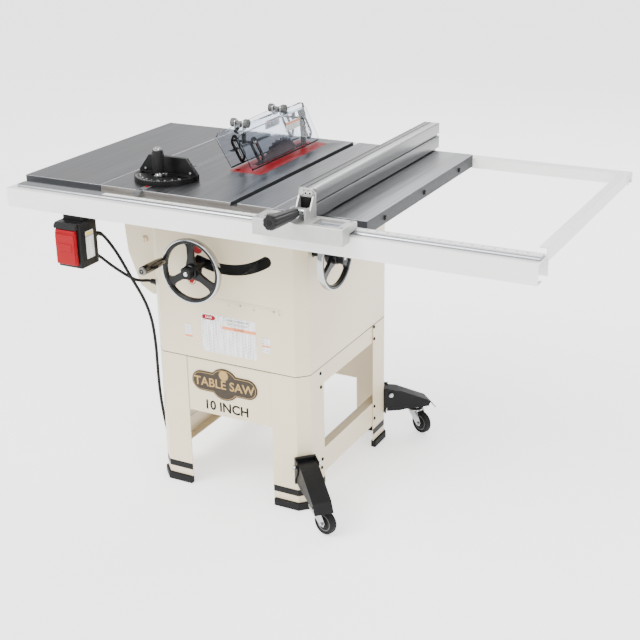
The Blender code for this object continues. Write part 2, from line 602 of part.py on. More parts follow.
# ---- switch --------------------------------------------------------------------------
def make_switch(mats, root):
    """Make the switch box with its bracket, the stop paddle and the motor cord's gland."""
    (x0, x1), (y0, y1), (z0, z1) = SWITCH_X, SWITCH_Y, SWITCH_Z
    bracket = block((x0 + 0.012, y0 + 0.020, z1 - 0.001), (x1 - 0.008, y1 - 0.020, RAIL_Z[0] - GAP))
    piece("switch_box", block((x0, y0, z0), (x1, y1, z1), 0.004, 2), mats["black_plastic"], root,
          join=[bracket])
    hinge = z1 - 0.022
    body = block((-0.032, -0.006, -0.088), (0.032, 0.004, -0.002), 0.002, 2)
    barrel = rod(0.0055, -0.030, 0.030, "x", segments=16)
    piece("switch_paddle", body, mats["red_plastic"], root, at=((x0 + x1) / 2, y0 - 0.0075, hinge),
          join=[barrel])
    profile = [(0.0046, -0.0003), (0.011, -0.0003), (0.011, -0.006), (0.008, -0.008), (0.007, -0.024),
               (0.0046, -0.026)]
    piece("cord_gland", turned(profile, 20, "x"), mats["black_plastic"], root, at=(CABINET_X[0], *GLAND))


# ---- motor cover -----------------------------------------------------------------------
def make_cover(mats, root):
    """Make the hinged cover over the motor window; its origin is on the hinge."""
    wall = CABINET_X[0] - GAP
    y0, y1 = COVER_Y
    at = (wall - 0.004, y1 + 0.006, 0)

    def outline(inset, reach):
        x0 = CABINET_X[0]
        return [(reach, below(0.3685) + inset), (x0 - 0.052 + inset * 0.2, below(0.3685) + inset),
                (x0 - 0.090 + inset * 0.8, below(0.3475) + inset * 0.7), (x0 - 0.1255 + inset, below(0.2525)),
                (x0 - 0.132 + inset, below(0.1785)), (x0 - 0.132 + inset, below(0.0835) - inset * 0.4),
                (x0 - 0.115 + inset * 0.4, below(0.0665) - inset), (reach, below(0.0665) - inset)]

    shift = (-at[0], -at[1], 0)
    body = moved_to(slab(outline(0, wall), y0, y1, "y"), shift)
    hollow = moved_to(slab(outline(COVER_WALL, wall + 0.01), y0 + COVER_WALL, y1 - COVER_WALL, "y"), shift)
    heights = (below(0.3285), below(0.1485))
    knuckles = [rod(0.0037, z, z + 0.040, segments=12) for z in heights]
    leaves = [block((-0.0030, -0.0075, z), (-0.0010, 0.0, z + 0.040)) for z in heights]
    piece("motor_cover", body, mats["cream_paint"], root, at=at, join=[*knuckles, *leaves], cut=[hollow],
          smooth=False)


# ---- tilting and rising gear -------------------------------------------------------------
def crescent(inner, outer, start, end):
    """Return a curved plate's outline about the tilt axis; angles from straight down."""
    centre = (TILT_X, TABLE_TOP)
    return arc(centre, outer, start - 90, end - 90, 16) + arc(centre, inner, end - 90, start - 90, 16)


def make_trunnion(mats, root):
    """Make the trunnion that carries the cradle under the table."""
    top = TABLE_TOP - TABLE_WEB - GAP
    shoulder = below(SLOT_RIB + GAP)
    drop = math.degrees(math.asin((TABLE_TOP - shoulder) / TRUNNION_RADIUS))
    half = arc((TILT_X, TABLE_TOP), TRUNNION_RADIUS, -180 + drop, -drop, 24)
    for side, height in ((1, shoulder), (1, top), (-1, top), (-1, shoulder)):
        half.append((TILT_X + side * TRUNNION_SEAT, height))
    y0, y1 = TRUNNION_FRONT, TRUNNION_REAR
    tie = block((TILT_X + 0.050, y0 + 0.004, TABLE_TOP - 0.0265), (TILT_X + 0.064, y1 + 0.008, top - 0.0015))
    rear = slab(half, y1, y1 + TRUNNION_THICK, "y")
    piece("trunnion", slab(half, y0, y0 + TRUNNION_THICK, "y"), mats["grey_casting"], root,
          join=[rear, tie], smooth=False)


def make_cradle(mats, root):
    """Make the cradle that tilts; returns the empty on the tilt axis."""
    tilt = empty("tilt_axis", root, (TILT_X, 0, TABLE_TOP))
    shift = (-TILT_X, 0, -TABLE_TOP)
    band = crescent(TRUNNION_RADIUS + RUN, CRADLE_RADIUS, -78, 33)
    y0, y1, thick = TRUNNION_FRONT, TRUNNION_REAR, TRUNNION_THICK
    foot = [(-0.100, below(0.3135)), (-0.020, below(0.3135)), (0.070, below(0.2435))]
    web = foot + [(0.075, below(0.0985)), (-0.060, below(0.0635)), (-0.100, below(0.1385))]
    web_rear = foot + [(0.072, below(0.0925)), (0.0, below(0.0925)), (-0.060, below(0.1385))]
    bore = rod(TRUNNION_RADIUS + RUN, y0 - 0.02, y1 + 0.03, "y", (TILT_X, 0, TABLE_TOP), 48)
    wheel_x, wheel_z = along((TILT_X, TABLE_TOP), HEIGHT_REACH, HEIGHT_ANGLE)
    joins = [
        slab(web, y0 + 0.0005, y0 + thick - 0.0005, "y"),
        slab(band, y1, y1 + thick, "y"),
        slab(web_rear, y1 + 0.0005, y1 + thick - 0.0005, "y"),
        block((0.055, y0 + 0.002, below(0.2385)), (0.069, y1 + 0.002, below(0.2105))),
        block((-0.098, y0 + 0.002, below(0.3115)), (-0.080, y1 + 0.002, below(0.2965))),
        block((-0.078, y0 + thick - 0.002, below(0.2985)), (-0.058, y0 + thick + 0.020, below(0.0485))),
        block((BLADE_X - 0.014, ARBOR_Y + 0.135, below(0.0985)),
              (BLADE_X - BLADE_THICK / 2 - GAP, y1 + 0.002, below(0.0805))),
    ]
    cuts = [bore, rod(SHAFT_RADIUS + RUN, y0 - 0.02, y0 + 0.03, "y", (wheel_x, 0, wheel_z))]
    body = slab(band, y0, y0 + thick, "y")
    piece("cradle", moved_to(body, shift), mats["grey_casting"], tilt, smooth=False,
          join=[moved_to(m, shift) for m in joins], cut=[moved_to(m, shift) for m in cuts])
    return tilt


def make_carriage(mats, tilt):
    """Make what rises and falls: carriage, motor, belt, arbor and blade."""
    shift = Vector((-TILT_X, 0, -TABLE_TOP))
    lift = empty("lift", tilt)
    y = TRUNNION_FRONT + TRUNNION_THICK
    slider = block((-0.090, y + 0.004, below(0.1585)), (-0.044, y + 0.050, below(0.0495)), 0.001)
    plate = block((MOTOR_X[1] + GAP, y + 0.0210, below(0.2585)),
                  (BELT_X[0] - 0.004, MOTOR_Y + 0.070, below(0.1170)))
    bore = rod(0.021, MOTOR_X[1] - 0.01, BELT_X[0] + 0.002, "x", (0, MOTOR_Y, MOTOR_Z), 26)
    joins = [
        block((MOTOR_X[1] + 0.0005, y + 0.0225, below(0.1565)),
              (-0.050, y + 0.0485, below(0.1185))),
        subtract(plate, bore),
        block((-0.0565, y + 0.046, below(0.0965)), (-0.030, ARBOR_Y, below(0.0605))),
        rod(0.026, -0.078, -0.012, "x", (0, ARBOR_Y, ARBOR_Z), 24),
    ]
    cuts = [
        block((-0.0783, y - 0.02, below(0.1985)), (-0.0577, y + 0.0205, above(0.0015))),
        rod(ARBOR_RADIUS + RUN / 2, -0.12, 0.02, "x", (0, ARBOR_Y, ARBOR_Z), 24),
    ]
    piece("carriage", moved_to(slider, shift), mats["grey_casting"], lift, smooth=False,
          join=[moved_to(m, shift) for m in joins], cut=[moved_to(m, shift) for m in cuts])
    r, (m0, m1) = MOTOR_RADIUS, MOTOR_X
    profile = [(0, m0), (r - 0.010, m0), (r - 0.002, m0 + 0.008), (r - 0.002, m0 + 0.034),
               (r - 0.005, m0 + 0.036), (r - 0.005, m0 + 0.044), (r, m0 + 0.046), (r, m1 - 0.014),
               (r - 0.008, m1), (0, m1)]
    piece("motor", turned(profile, 32, "x"), mats["dark_steel"], lift,
          at=Vector((0, MOTOR_Y, MOTOR_Z)) + shift)
    b0, b1 = BELT_X
    profile = [(0, m1 + GAP), (0.0095, m1 + GAP), (0.0095, b0), (PULLEY_RADIUS + 0.004, b0),
               (PULLEY_RADIUS, b0 + 0.003), (PULLEY_RADIUS, b1 - 0.003), (PULLEY_RADIUS + 0.004, b1), (0, b1)]
    piece("motor_pulley", turned(profile, 28, "x"), mats["dark_steel"], lift,
          at=Vector((0, MOTOR_Y, MOTOR_Z)) + shift)
    blade = BLADE_X - BLADE_THICK / 2, BLADE_X + BLADE_THICK / 2
    a = ARBOR_RADIUS
    profile = [(0, b0), (PULLEY_RADIUS + 0.004, b0), (PULLEY_RADIUS, b0 + 0.003), (PULLEY_RADIUS, b1 - 0.003),
               (PULLEY_RADIUS + 0.004, b1), (a + 0.003, b1), (a + 0.003, -0.0787), (a, -0.0786), (a, -0.0112),
               (0.022, -0.0110), (0.025, blade[0] - GAP), (a, blade[0] - GAP), (a, blade[1] + GAP),
               (0.022, blade[1] + GAP), (0.022, blade[1] + 0.004), (0.0135, blade[1] + 0.0042),
               (0.0135, blade[1] + 0.014), (a, blade[1] + 0.0142), (a, blade[1] + 0.022),
               (0, blade[1] + 0.022)]
    arbor = Vector((0, ARBOR_Y, ARBOR_Z)) + shift
    piece("arbor", turned(profile, 28, "x"), mats["dark_steel"], lift, at=arbor)
    piece("blade", blade_mesh(), mats["blade_steel"], lift, at=arbor, smooth=False)
    piece("belt", belt_mesh(), mats["black_rubber"], lift, at=shift, smooth=False)


def blade_mesh():
    """Return a toothed disc with its bore; forty raked teeth."""
    teeth = 40
    outline = []
    for k in range(teeth):
        start = math.tau * k / teeth
        for share, depth in ((0.0, 0.0), (0.16, 0.0065), (0.42, 0.0060), (0.92, 0.0012)):
            a = start + share * math.tau / teeth
            r = BLADE_RADIUS - depth
            outline.append((r * math.cos(a), r * math.sin(a)))
    bore = [(p[0], p[1]) for p in arc((0, 0), ARBOR_RADIUS + GAP, 0, 360 - 15, 23)]
    mesh = slab(outline, BLADE_X - BLADE_THICK / 2, BLADE_X + BLADE_THICK / 2, "x")
    hole = slab(bore, BLADE_X - 0.01, BLADE_X + 0.01, "x")
    return subtract(mesh, hole)


def subtract(mesh, tool):
    """Return mesh minus tool as a new bmesh."""
    base, cutter = (mesh_object(n, m, None) for n, m in (("base", mesh), ("tool", tool)))
    step = base.modifiers.new("cut", "BOOLEAN")
    step.operation = "DIFFERENCE"
    step.solver = "EXACT"
    step.object = cutter
    result = bmesh.new()
    result.from_object(base, bpy.context.evaluated_depsgraph_get())
    for item in (base, cutter):
        bpy.data.objects.remove(item)
    return result


def belt_mesh():
    """Return the flat loop round both pulleys."""
    low = Vector((MOTOR_Y, MOTOR_Z))
    high = Vector((ARBOR_Y, ARBOR_Z))
    lean = math.degrees(math.atan2(high.y - low.y, high.x - low.x))
    def loop(radius):
        return (arc(tuple(low), radius, lean + 90, lean + 270, 12)
                + arc(tuple(high), radius, lean - 90, lean + 90, 12))
    inner = PULLEY_RADIUS + GAP
    b0, b1 = BELT_X[0] + 0.004, BELT_X[1] - 0.004
    return subtract(slab(loop(inner + 0.003), b0, b1, "x"), slab(loop(inner), b0 - 0.01, b1 + 0.01, "x"))


# ---- hand wheels ---------------------------------------------------------------------------
def wheel_meshes(shaft_back):
    """Return a hand wheel in its own space: axis along Z, face towards +Z; rim centred on Z = 0."""
    r, w = WHEEL_RADIUS, WHEEL_RIM / 2
    rim = turned([(r - 0.014, -w + 0.003), (r - 0.011, -w), (r - 0.003, -w), (r, -w + 0.004), (r, w - 0.004),
                  (r - 0.003, w), (r - 0.011, w), (r - 0.014, w - 0.003)], 40)
    hub = turned([(0, -shaft_back), (SHAFT_RADIUS, -shaft_back), (SHAFT_RADIUS, -0.022),
                  (WHEEL_HUB - 0.003, -0.022), (WHEEL_HUB, -0.019), (WHEEL_HUB - 0.001, 0.009),
                  (WHEEL_HUB - 0.004, 0.011), (0.006, 0.011), (0.006, 0.018), (0, 0.018)], 28)
    spokes = []
    for angle in (90, 210, 330):
        a = math.radians(angle)
        inner = Vector((math.cos(a) * 0.012, math.sin(a) * 0.012, -0.004))
        outer = Vector((math.cos(a) * (r - 0.007), math.sin(a) * (r - 0.007), 0.0))
        across = (-math.sin(a), math.cos(a), 0)
        spokes.append(bar_between(inner, outer, 0.019, 0.008, across))
    return rim, [hub, *spokes]


def handle_mesh(length):
    """Return a tapered crank handle standing on Z = 0."""
    return turned([(0, 0), (0.0070, 0), (0.0070, 0.004), (0.0100, 0.008), (0.0118, length * 0.30),
                   (0.0125, length * 0.70), (0.0120, length * 0.97), (0.0100, length), (0, length)], 20)


def knob_mesh():
    """Return a lock knob with a four-sided grip, standing on Z = 0."""
    return slab(rounded_rectangle((-0.0135, -0.0135), (0.0135, 0.0135), 0.005, 2), 0, 0.017)


def make_wheel(mats, parent, name, at, turn, crank_degrees, shaft_back):
    """Make a hand wheel with its crank handle and lock knob, on an empty at its hub."""
    hub = empty(f"{name}_hub", parent, at, turn)
    rim, joins = wheel_meshes(shaft_back)
    a = math.radians(crank_degrees)
    reach = WHEEL_RADIUS - 0.007
    spot = (math.cos(a) * reach, math.sin(a) * reach)
    piece(f"{name}_wheel", rim, mats["black_paint"], hub, join=joins)
    piece(f"{name}_handle", handle_mesh(HANDLE_LENGTH), mats["chrome"], hub, at=(*spot, WHEEL_RIM / 2 + GAP))
    hole = rod(0.0064, -0.01, 0.0085, segments=20)
    piece(f"{name}_knob", knob_mesh(), mats["black_plastic"], hub, at=(0, 0, 0.0114), cut=[hole])


# ---- guard -----------------------------------------------------------------------------------
def make_guard(mats, tilt):
    """Make the splitter with the guard's spine, and the two clear shields."""
    shift = Vector((-TILT_X, 0, -TABLE_TOP))
    half = BLADE_THICK / 2
    back = ARBOR_Y + BLADE_RADIUS - 0.003
    front = ARBOR_Y - 0.215
    outline = [(back + 0.003, below(0.0985)), (back + 0.030, below(0.0985)), (back + 0.030, above(0.0865)),
               (back + 0.014, above(0.1135)), (back - 0.020, above(0.1135)), (back - 0.008, above(0.0865)),
               (back, above(0.0515)), (back + 0.003, above(0.0015))]
    plate = slab(outline, BLADE_X - half, BLADE_X + half, "x")
    outline = [(front - 0.014, above(0.1135)), (front, above(0.1045)), (back + 0.012, above(0.1045)),
               (back + 0.016, above(0.1115)), (back + 0.010, above(0.1215)), (front, above(0.1215))]
    top = slab(outline, BLADE_X - 0.006, BLADE_X + 0.006, "x")
    joins = [top]
    for y, z in (GUARD_PIN_FRONT, GUARD_PIN_REAR):
        reach = SHIELD_OFFSET + SHIELD_WALL + 0.002
        joins.append(block((BLADE_X - 0.0021, y - 0.0075, z - 0.006),
                           (BLADE_X + 0.0021, y + 0.0075, above(0.1080))))
        joins.append(rod(0.003, -reach, reach, "x", (BLADE_X, y, z), 12))
    for y in KNUCKLE_Y:
        joins.append(block((BLADE_X - 0.004, y - 0.008, above(0.1175)),
                           (BLADE_X + 0.004, y + 0.008, KNUCKLE_Z)))
        joins.append(rod(0.005, -0.024, 0.024, "x", (BLADE_X, y, KNUCKLE_Z), 16))
        joins += [rod(0.0115, s - 0.0035, s + 0.0035, "x", (BLADE_X, y, KNUCKLE_Z), 20)
                  for s in (-0.0185, 0.0185)]
    piece("guard_spine", moved_to(plate, shift), mats["dark_steel"], tilt, smooth=False,
          join=[moved_to(m, shift) for m in joins])
    for name, side in (("shield_left", -1), ("shield_right", 1)):
        inner = BLADE_X + side * SHIELD_OFFSET
        outer = inner + side * SHIELD_WALL
        low, high = min(inner, outer), max(inner, outer)
        outline = [(ARBOR_Y - 0.202, above(0.0060)), (ARBOR_Y + 0.175, above(0.0060)),
                   (ARBOR_Y + 0.171, above(0.0165)), (ARBOR_Y + 0.101, above(0.1155)),
                   (ARBOR_Y + 0.091, above(0.1215)), (ARBOR_Y - 0.003, above(0.1215)),
                   (ARBOR_Y - 0.265, above(0.1135)), (ARBOR_Y - 0.275, above(0.1035))]
        slots = [slide_slot(pin, low - 0.01, high + 0.01) for pin in (GUARD_PIN_FRONT, GUARD_PIN_REAR)]
        piece(name, moved_to(slab(outline, low, high, "x"), shift), mats["clear_plastic"], tilt,
              cut=[moved_to(m, shift) for m in slots], smooth=False)


def slide_slot(pin, low, high):
    """Return the cutter of a slanted slot that hangs on a pin and lets the shield lift."""
    dy, dz = -SHIELD_RISE[0] * SHIELD_TRAVEL, -SHIELD_RISE[1] * SHIELD_TRAVEL
    end = (pin[0] + dy, pin[1] + dz)
    lean = math.degrees(math.atan2(-dy, -dz))
    outline = arc(pin, 0.0036, -lean, 180 - lean, 8) + arc(end, 0.0036, 180 - lean, 360 - lean, 8)
    return slab([(v[0], v[1]) for v in outline], low, high, "x")


# ---- casters -----------------------------------------------------------------------------------
def make_caster(mats, root, name, corner, turn, trail_degrees):
    """Make one foot-operated caster on a corner; its empty looks out along the diagonal."""
    holder = empty(f"caster_{name}", root, (*corner, 0), (0, 0, turn))
    p, z = PEDAL_PIVOT
    plate = block((GAP, -0.030, 0.085), (0.004, 0.030, 0.166))
    ear = [(0.002, 0.098), (p + 0.004, 0.120), (p + 0.012, 0.137), (p + 0.012, 0.160), (0.002, 0.1655)]
    ears = [slab(ear, s - 0.0015, s + 0.0015, "y") for s in (-0.0285, 0.0285)]
    pin = rod(0.005, -0.034, 0.034, "y", (p, 0, z), 16)
    roof = slab([(0.002, 0.1640), (0.012, 0.1640), (0.012, 0.1665), (0.002, 0.1665)], -0.029, 0.029, "y")
    piece(f"caster_bracket_{name}", plate, mats["black_paint"], holder, join=[*ears, pin, roof], smooth=False)
    pivot = empty(f"pedal_pivot_{name}", holder, (p, 0, z))
    out = CASTER_OUT
    side = [(0.0085, 0.090), (0.050, 0.086), (out - 0.034, 0.0880), (out + 0.034, 0.0880), (0.152, 0.098),
            (0.150, 0.103), (0.055, 0.150), (0.030, 0.1555), (0.0085, 0.153)]
    flanges = [moved_to(slab(side, s - 0.00125, s + 0.00125, "y"), (-p, 0, -z)) for s in (-0.0252, 0.0252)]
    deck_path = [(0.170, 0.078), (0.151, 0.103), (0.055, 0.150), (0.030, 0.1555), (0.0090, 0.153)]
    deck = moved_to(slab(strip(deck_path, 0.0025), -0.0262, 0.0262, "y"), (-p, 0, -z))
    top = 0.0885
    mount = moved_to(block((out - 0.036, -0.0258, top - 0.003), (out + 0.036, 0.0258, top)), (-p, 0, -z))
    bore = rod(0.005 + RUN / 2, -0.05, 0.05, "y", segments=16)
    piece(f"caster_pedal_{name}", deck, mats["black_paint"], pivot, join=[*flanges, mount], cut=[bore],
          smooth=False)
    swivel = empty(f"swivel_{name}", pivot, (out - p, 0, -z), (0, 0, math.radians(trail_degrees) - turn))
    axle = CASTER_LIFT + CASTER_RADIUS
    crown = axle + CASTER_RADIUS + 0.004
    body = turned([(0, crown), (0.024, crown), (0.024, crown + 0.003), (0.016, crown + 0.007),
                   (0.016, top - 0.003 - GAP), (0, top - 0.003 - GAP)], 24)
    cheek = [(-0.020, crown + 0.0025), (0.020, crown + 0.0025), (CASTER_TRAIL + 0.011, axle + 0.004),
             (CASTER_TRAIL + 0.006, axle - 0.008), (CASTER_TRAIL - 0.006, axle - 0.008),
             (-0.012, crown - 0.012)]
    gap = CASTER_WIDTH / 2 + 0.0015
    cheeks = [slab(cheek, s - 0.00125, s + 0.00125, "y") for s in (-gap - 0.00125, gap + 0.00125)]
    bolt = rod(0.004, -gap - 0.006, gap + 0.006, "y", (CASTER_TRAIL, 0, axle), 12)
    piece(f"caster_fork_{name}", body, mats["zinc"], swivel, join=[*cheeks, bolt], smooth=False)
    r, w = CASTER_RADIUS, CASTER_WIDTH / 2
    profile = [(0.004 + RUN / 2, -w), (0.012, -w), (0.013, -w + 0.003), (r - 0.008, -w + 0.003),
               (r - 0.006, -w), (r - 0.003, -w), (r, -w + 0.004), (r, w - 0.004), (r - 0.003, w),
               (r - 0.006, w), (r - 0.008, w - 0.003), (0.013, w - 0.003), (0.012, w),
               (0.004 + RUN / 2, w)]
    piece(f"caster_wheel_{name}", turned(profile, 32, "y"), mats["black_rubber"], swivel,
          at=(CASTER_TRAIL, 0, axle))


# ---- cords ------------------------------------------------------------------------------------------
def tube(name, points, radius, material, parent):
    """Make a cord as a capped round tube along points."""
    curve = bpy.data.curves.new(name, "CURVE")
    curve.dimensions = "3D"
    curve.bevel_depth = radius
    curve.bevel_resolution = 2
    curve.use_fill_caps = True
    spline = curve.splines.new("POLY")
    spline.points.add(len(points) - 1)
    for target, point in zip(spline.points, points):
        target.co = (*point, 1.0)
    item = bpy.data.objects.new(name, curve)
    bpy.context.scene.collection.objects.link(item)
    item.parent = parent
    item.data.materials.append(material)
    return item


def smooth_route(points, spacing):
    """Return points at an even spacing on a smooth curve through a hand-chosen route."""
    pts = [Vector(p) for p in points]
    fine = []
    for k in range(len(pts) - 1):
        a, b = pts[max(k - 1, 0)], pts[k]
        c, d = pts[k + 1], pts[min(k + 2, len(pts) - 1)]
        for step in range(12):
            t = step / 12
            fine.append(0.5 * (2 * b + (c - a) * t + (2 * a - 5 * b + 4 * c - d) * t * t
                               + (3 * b - a - 3 * c + d) * t ** 3))
    fine.append(pts[-1])
    length = sum((q - p).length for p, q in zip(fine, fine[1:]))
    count = max(2, round(length / spacing))
    even = [fine[0]]
    walked, target = 0.0, length / count
    for p, q in zip(fine, fine[1:]):
        step = (q - p).length
        while walked + step >= target and len(even) < count:
            even.append(p.lerp(q, (target - walked) / step))
            target += length / count
        walked += step
    return even + [fine[-1]]


def make_cords(mats, root):
    """Make the motor cord, the power cord, its coil on the floor and its plug."""
    tube("motor_cord", smooth_route(MOTOR_ROUTE, 0.010), CORD_RADIUS, mats["black_rubber"], root)
    tube("power_cord", smooth_route(POWER_ROUTE, 0.016), CORD_RADIUS, mats["black_rubber"], root)
    x, y = COIL_AT
    low, high = 0.0005, 0.0185
    inner, outer = COIL_RADIUS - 0.0095, COIL_RADIUS + 0.0045
    hank = turned([(inner, low), (outer, low), (outer, high), (inner, high)], 36)
    piece("cord_coil", hank, mats["black_rubber"], root, at=(x, y, 0))
    profile = [(0, 0), (0.0055, 0), (0.0065, 0.018), (0.0130, 0.026), (0.0130, 0.052), (0, 0.052)]
    body = turned(profile, 20, "x")
    prongs = [block((0.051, s - 0.0008, -0.003), (0.068, s + 0.0008, 0.003)) for s in (-0.006, 0.006)]
    piece("plug", body, mats["black_plastic"], root,
          at=(x - COIL_RADIUS + 0.0103, y, 0.0135), join=prongs)


# ---- the whole saw --------------------------------------------------------------------------------------
def clear_scene():
    """Remove whatever is in the scene."""
    for item in list(bpy.data.objects):
        bpy.data.objects.remove(item)


def centre_on_floor(root, loose):
    """Move the saw so that the origin is the middle of its footprint; loose pieces don't count."""
    bpy.context.view_layer.update()
    graph = bpy.context.evaluated_depsgraph_get()
    corners = []
    for item in bpy.data.objects:
        if item.type == "EMPTY" or item.hide_render or item.name in loose:
            continue
        shape = item.evaluated_get(graph)
        corners += [shape.matrix_world @ Vector(c) for c in shape.bound_box]
    middle = [(min(c[k] for c in corners) + max(c[k] for c in corners)) / 2 for k in range(2)]
    root.location = (-middle[0], -middle[1], 0)
    bpy.context.view_layer.update()


def main():
    """Build the saw."""
    clear_scene()
    mats = make_finishes()
    root = empty("table_saw")
    make_table(mats, root)
    make_cabinet(mats, root)
    make_stand(mats, root)
    make_rails(mats, root)
    make_fence(mats, root)
    make_miter(mats, root)
    make_switch(mats, root)
    make_cover(mats, root)
    make_trunnion(mats, root)
    tilt = make_cradle(mats, root)
    make_carriage(mats, tilt)
    make_guard(mats, tilt)
    x, z = along((0, 0), HEIGHT_REACH, HEIGHT_ANGLE)
    make_wheel(mats, tilt, "height", (x, HEIGHT_WHEEL_Y, z), (math.pi / 2, 0, 0), 165, 0.158)
    make_wheel(mats, root, "tilt", TILT_WHEEL, (math.pi / 2, 0, math.pi / 2), 140, 0.125)
    x1 = CABINET_X[1] - CABINET_CHAMFER / 2
    front = CABINET_Y[0] + CABINET_CHAMFER / 2
    rear = CABINET_Y[1] - CABINET_CHAMFER / 2
    make_caster(mats, root, "front", (x1, front), math.radians(-45), -18)
    make_caster(mats, root, "rear", (x1, rear), math.radians(45), -25)
    make_cords(mats, root)
    centre_on_floor(root, ("motor_cord", "power_cord", "cord_coil", "plug"))


main()
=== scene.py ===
"""Looks for the open-stand table saw: finishes, castings, trim, labels, fixings and cords.

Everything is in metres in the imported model's frame. Saw places (X from the middle of the
main table, Y from its front edge, Z from the floor) are turned into that frame by at().
"""

import json
import math

import bmesh
import bpy
from mathutils import Matrix, Vector

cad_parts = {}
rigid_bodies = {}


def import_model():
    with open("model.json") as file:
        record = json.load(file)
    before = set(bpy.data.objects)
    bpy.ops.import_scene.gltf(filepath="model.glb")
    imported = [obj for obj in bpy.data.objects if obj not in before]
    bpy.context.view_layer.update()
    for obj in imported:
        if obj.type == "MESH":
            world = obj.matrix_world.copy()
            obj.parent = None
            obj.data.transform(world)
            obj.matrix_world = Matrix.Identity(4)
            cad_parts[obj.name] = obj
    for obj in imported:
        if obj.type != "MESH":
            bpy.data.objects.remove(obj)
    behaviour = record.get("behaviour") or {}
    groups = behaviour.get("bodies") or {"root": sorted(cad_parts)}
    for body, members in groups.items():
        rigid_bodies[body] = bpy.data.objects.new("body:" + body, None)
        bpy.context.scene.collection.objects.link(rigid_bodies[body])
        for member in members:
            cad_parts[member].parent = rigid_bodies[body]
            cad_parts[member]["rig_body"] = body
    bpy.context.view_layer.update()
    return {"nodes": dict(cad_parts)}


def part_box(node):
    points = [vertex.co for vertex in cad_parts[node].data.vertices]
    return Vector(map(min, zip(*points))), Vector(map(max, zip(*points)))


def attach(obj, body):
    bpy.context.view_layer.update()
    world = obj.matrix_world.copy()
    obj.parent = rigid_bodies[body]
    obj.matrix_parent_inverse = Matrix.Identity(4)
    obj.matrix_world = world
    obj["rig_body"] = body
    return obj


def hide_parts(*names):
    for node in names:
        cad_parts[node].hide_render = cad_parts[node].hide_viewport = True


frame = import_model()
NODES = frame["nodes"]

TABLE_LOW, TABLE_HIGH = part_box("table")
ORIGIN = Vector(((TABLE_LOW.x + TABLE_HIGH.x) / 2, TABLE_LOW.y, 0))


def at(x, y, z):
    """Return the frame's point for a place on the saw."""
    return ORIGIN + Vector((x, y, z))


# ---- stage -------------------------------------------------------------------------
CAMERA_AT = (1.648, -2.412, 1.725)
CAMERA_YAW = 27.79
CAMERA_PITCH = -21.86
CAMERA_ROLL = -0.93
LENS = 67.9
SKY_STRENGTH = 1.05
SKY_PANEL = (3.2, 50, (0.42, 0.78, -1.25))   # strength, spread in degrees, direction
FLOOR_GLOW = 1.15
FLOOR_REACH = 30.0
FLOOR_GAP = 0.0005
LIGHTS = (   # name, place, target, size, watts
    ("key", (-1.8, -2.6, 3.6), (0, 0.3, 0.6), (2.0, 1.6), 110),
    ("fill", (3.4, -1.6, 2.4), (0.1, 0.3, 0.6), (1.8, 1.6), 60),
    ("back", (0.2, 4.2, 3.4), (0.1, 0.5, 0.8), (4.0, 2.0), 150),
)


def make_camera():
    """Stand the camera to the operator's right, looking down at the saw."""
    data = bpy.data.cameras.new("camera")
    data.lens = LENS
    data.sensor_width = 36
    data.clip_end = 50
    camera = linked("camera", data)
    turn = (Matrix.Rotation(math.radians(CAMERA_YAW), 4, "Z")
            @ Matrix.Rotation(math.radians(90 + CAMERA_PITCH), 4, "X")
            @ Matrix.Rotation(math.radians(CAMERA_ROLL), 4, "Z"))
    camera.matrix_world = Matrix.Translation(at(*CAMERA_AT)) @ turn
    bpy.context.scene.camera = camera


def area_light(name, place, target, size, watts):
    """Add a soft rectangular light aimed at a place on the saw."""
    data = bpy.data.lights.new(name, "AREA")
    data.shape = "RECTANGLE"
    data.size, data.size_y = size
    data.energy = watts
    lamp = linked(name, data)
    lamp.location = at(*place)
    lamp.rotation_euler = (at(*target) - at(*place)).to_track_quat("-Z", "Y").to_euler()


def make_stage():
    """Make the pale floor, the sky and the studio lights."""
    world = bpy.data.worlds.new("studio")
    world.use_nodes = True
    sky = world.node_tree.nodes["Background"]
    sky.inputs["Color"].default_value = rgba(1.0)
    sky.inputs["Strength"].default_value = SKY_STRENGTH
    bpy.context.scene.world = world
    for light in LIGHTS:
        area_light(*light)
    strength, spread, direction = SKY_PANEL
    sun = bpy.data.lights.new("sky_panel", "SUN")
    sun.energy = strength
    sun.angle = math.radians(spread)
    linked("sky_panel", sun).rotation_euler = Vector(direction).to_track_quat("-Z", "Y").to_euler()
    floor = linked("floor", bpy.data.meshes.new("floor"))
    corners = [(x, y, 0) for x, y in rectangle((-FLOOR_REACH, -FLOOR_REACH), (FLOOR_REACH, FLOOR_REACH))]
    floor.data.from_pydata(corners, [], [(0, 1, 2, 3)])
    floor.location.z = -FLOOR_GAP
    floor.data.materials.append(floor_paint())


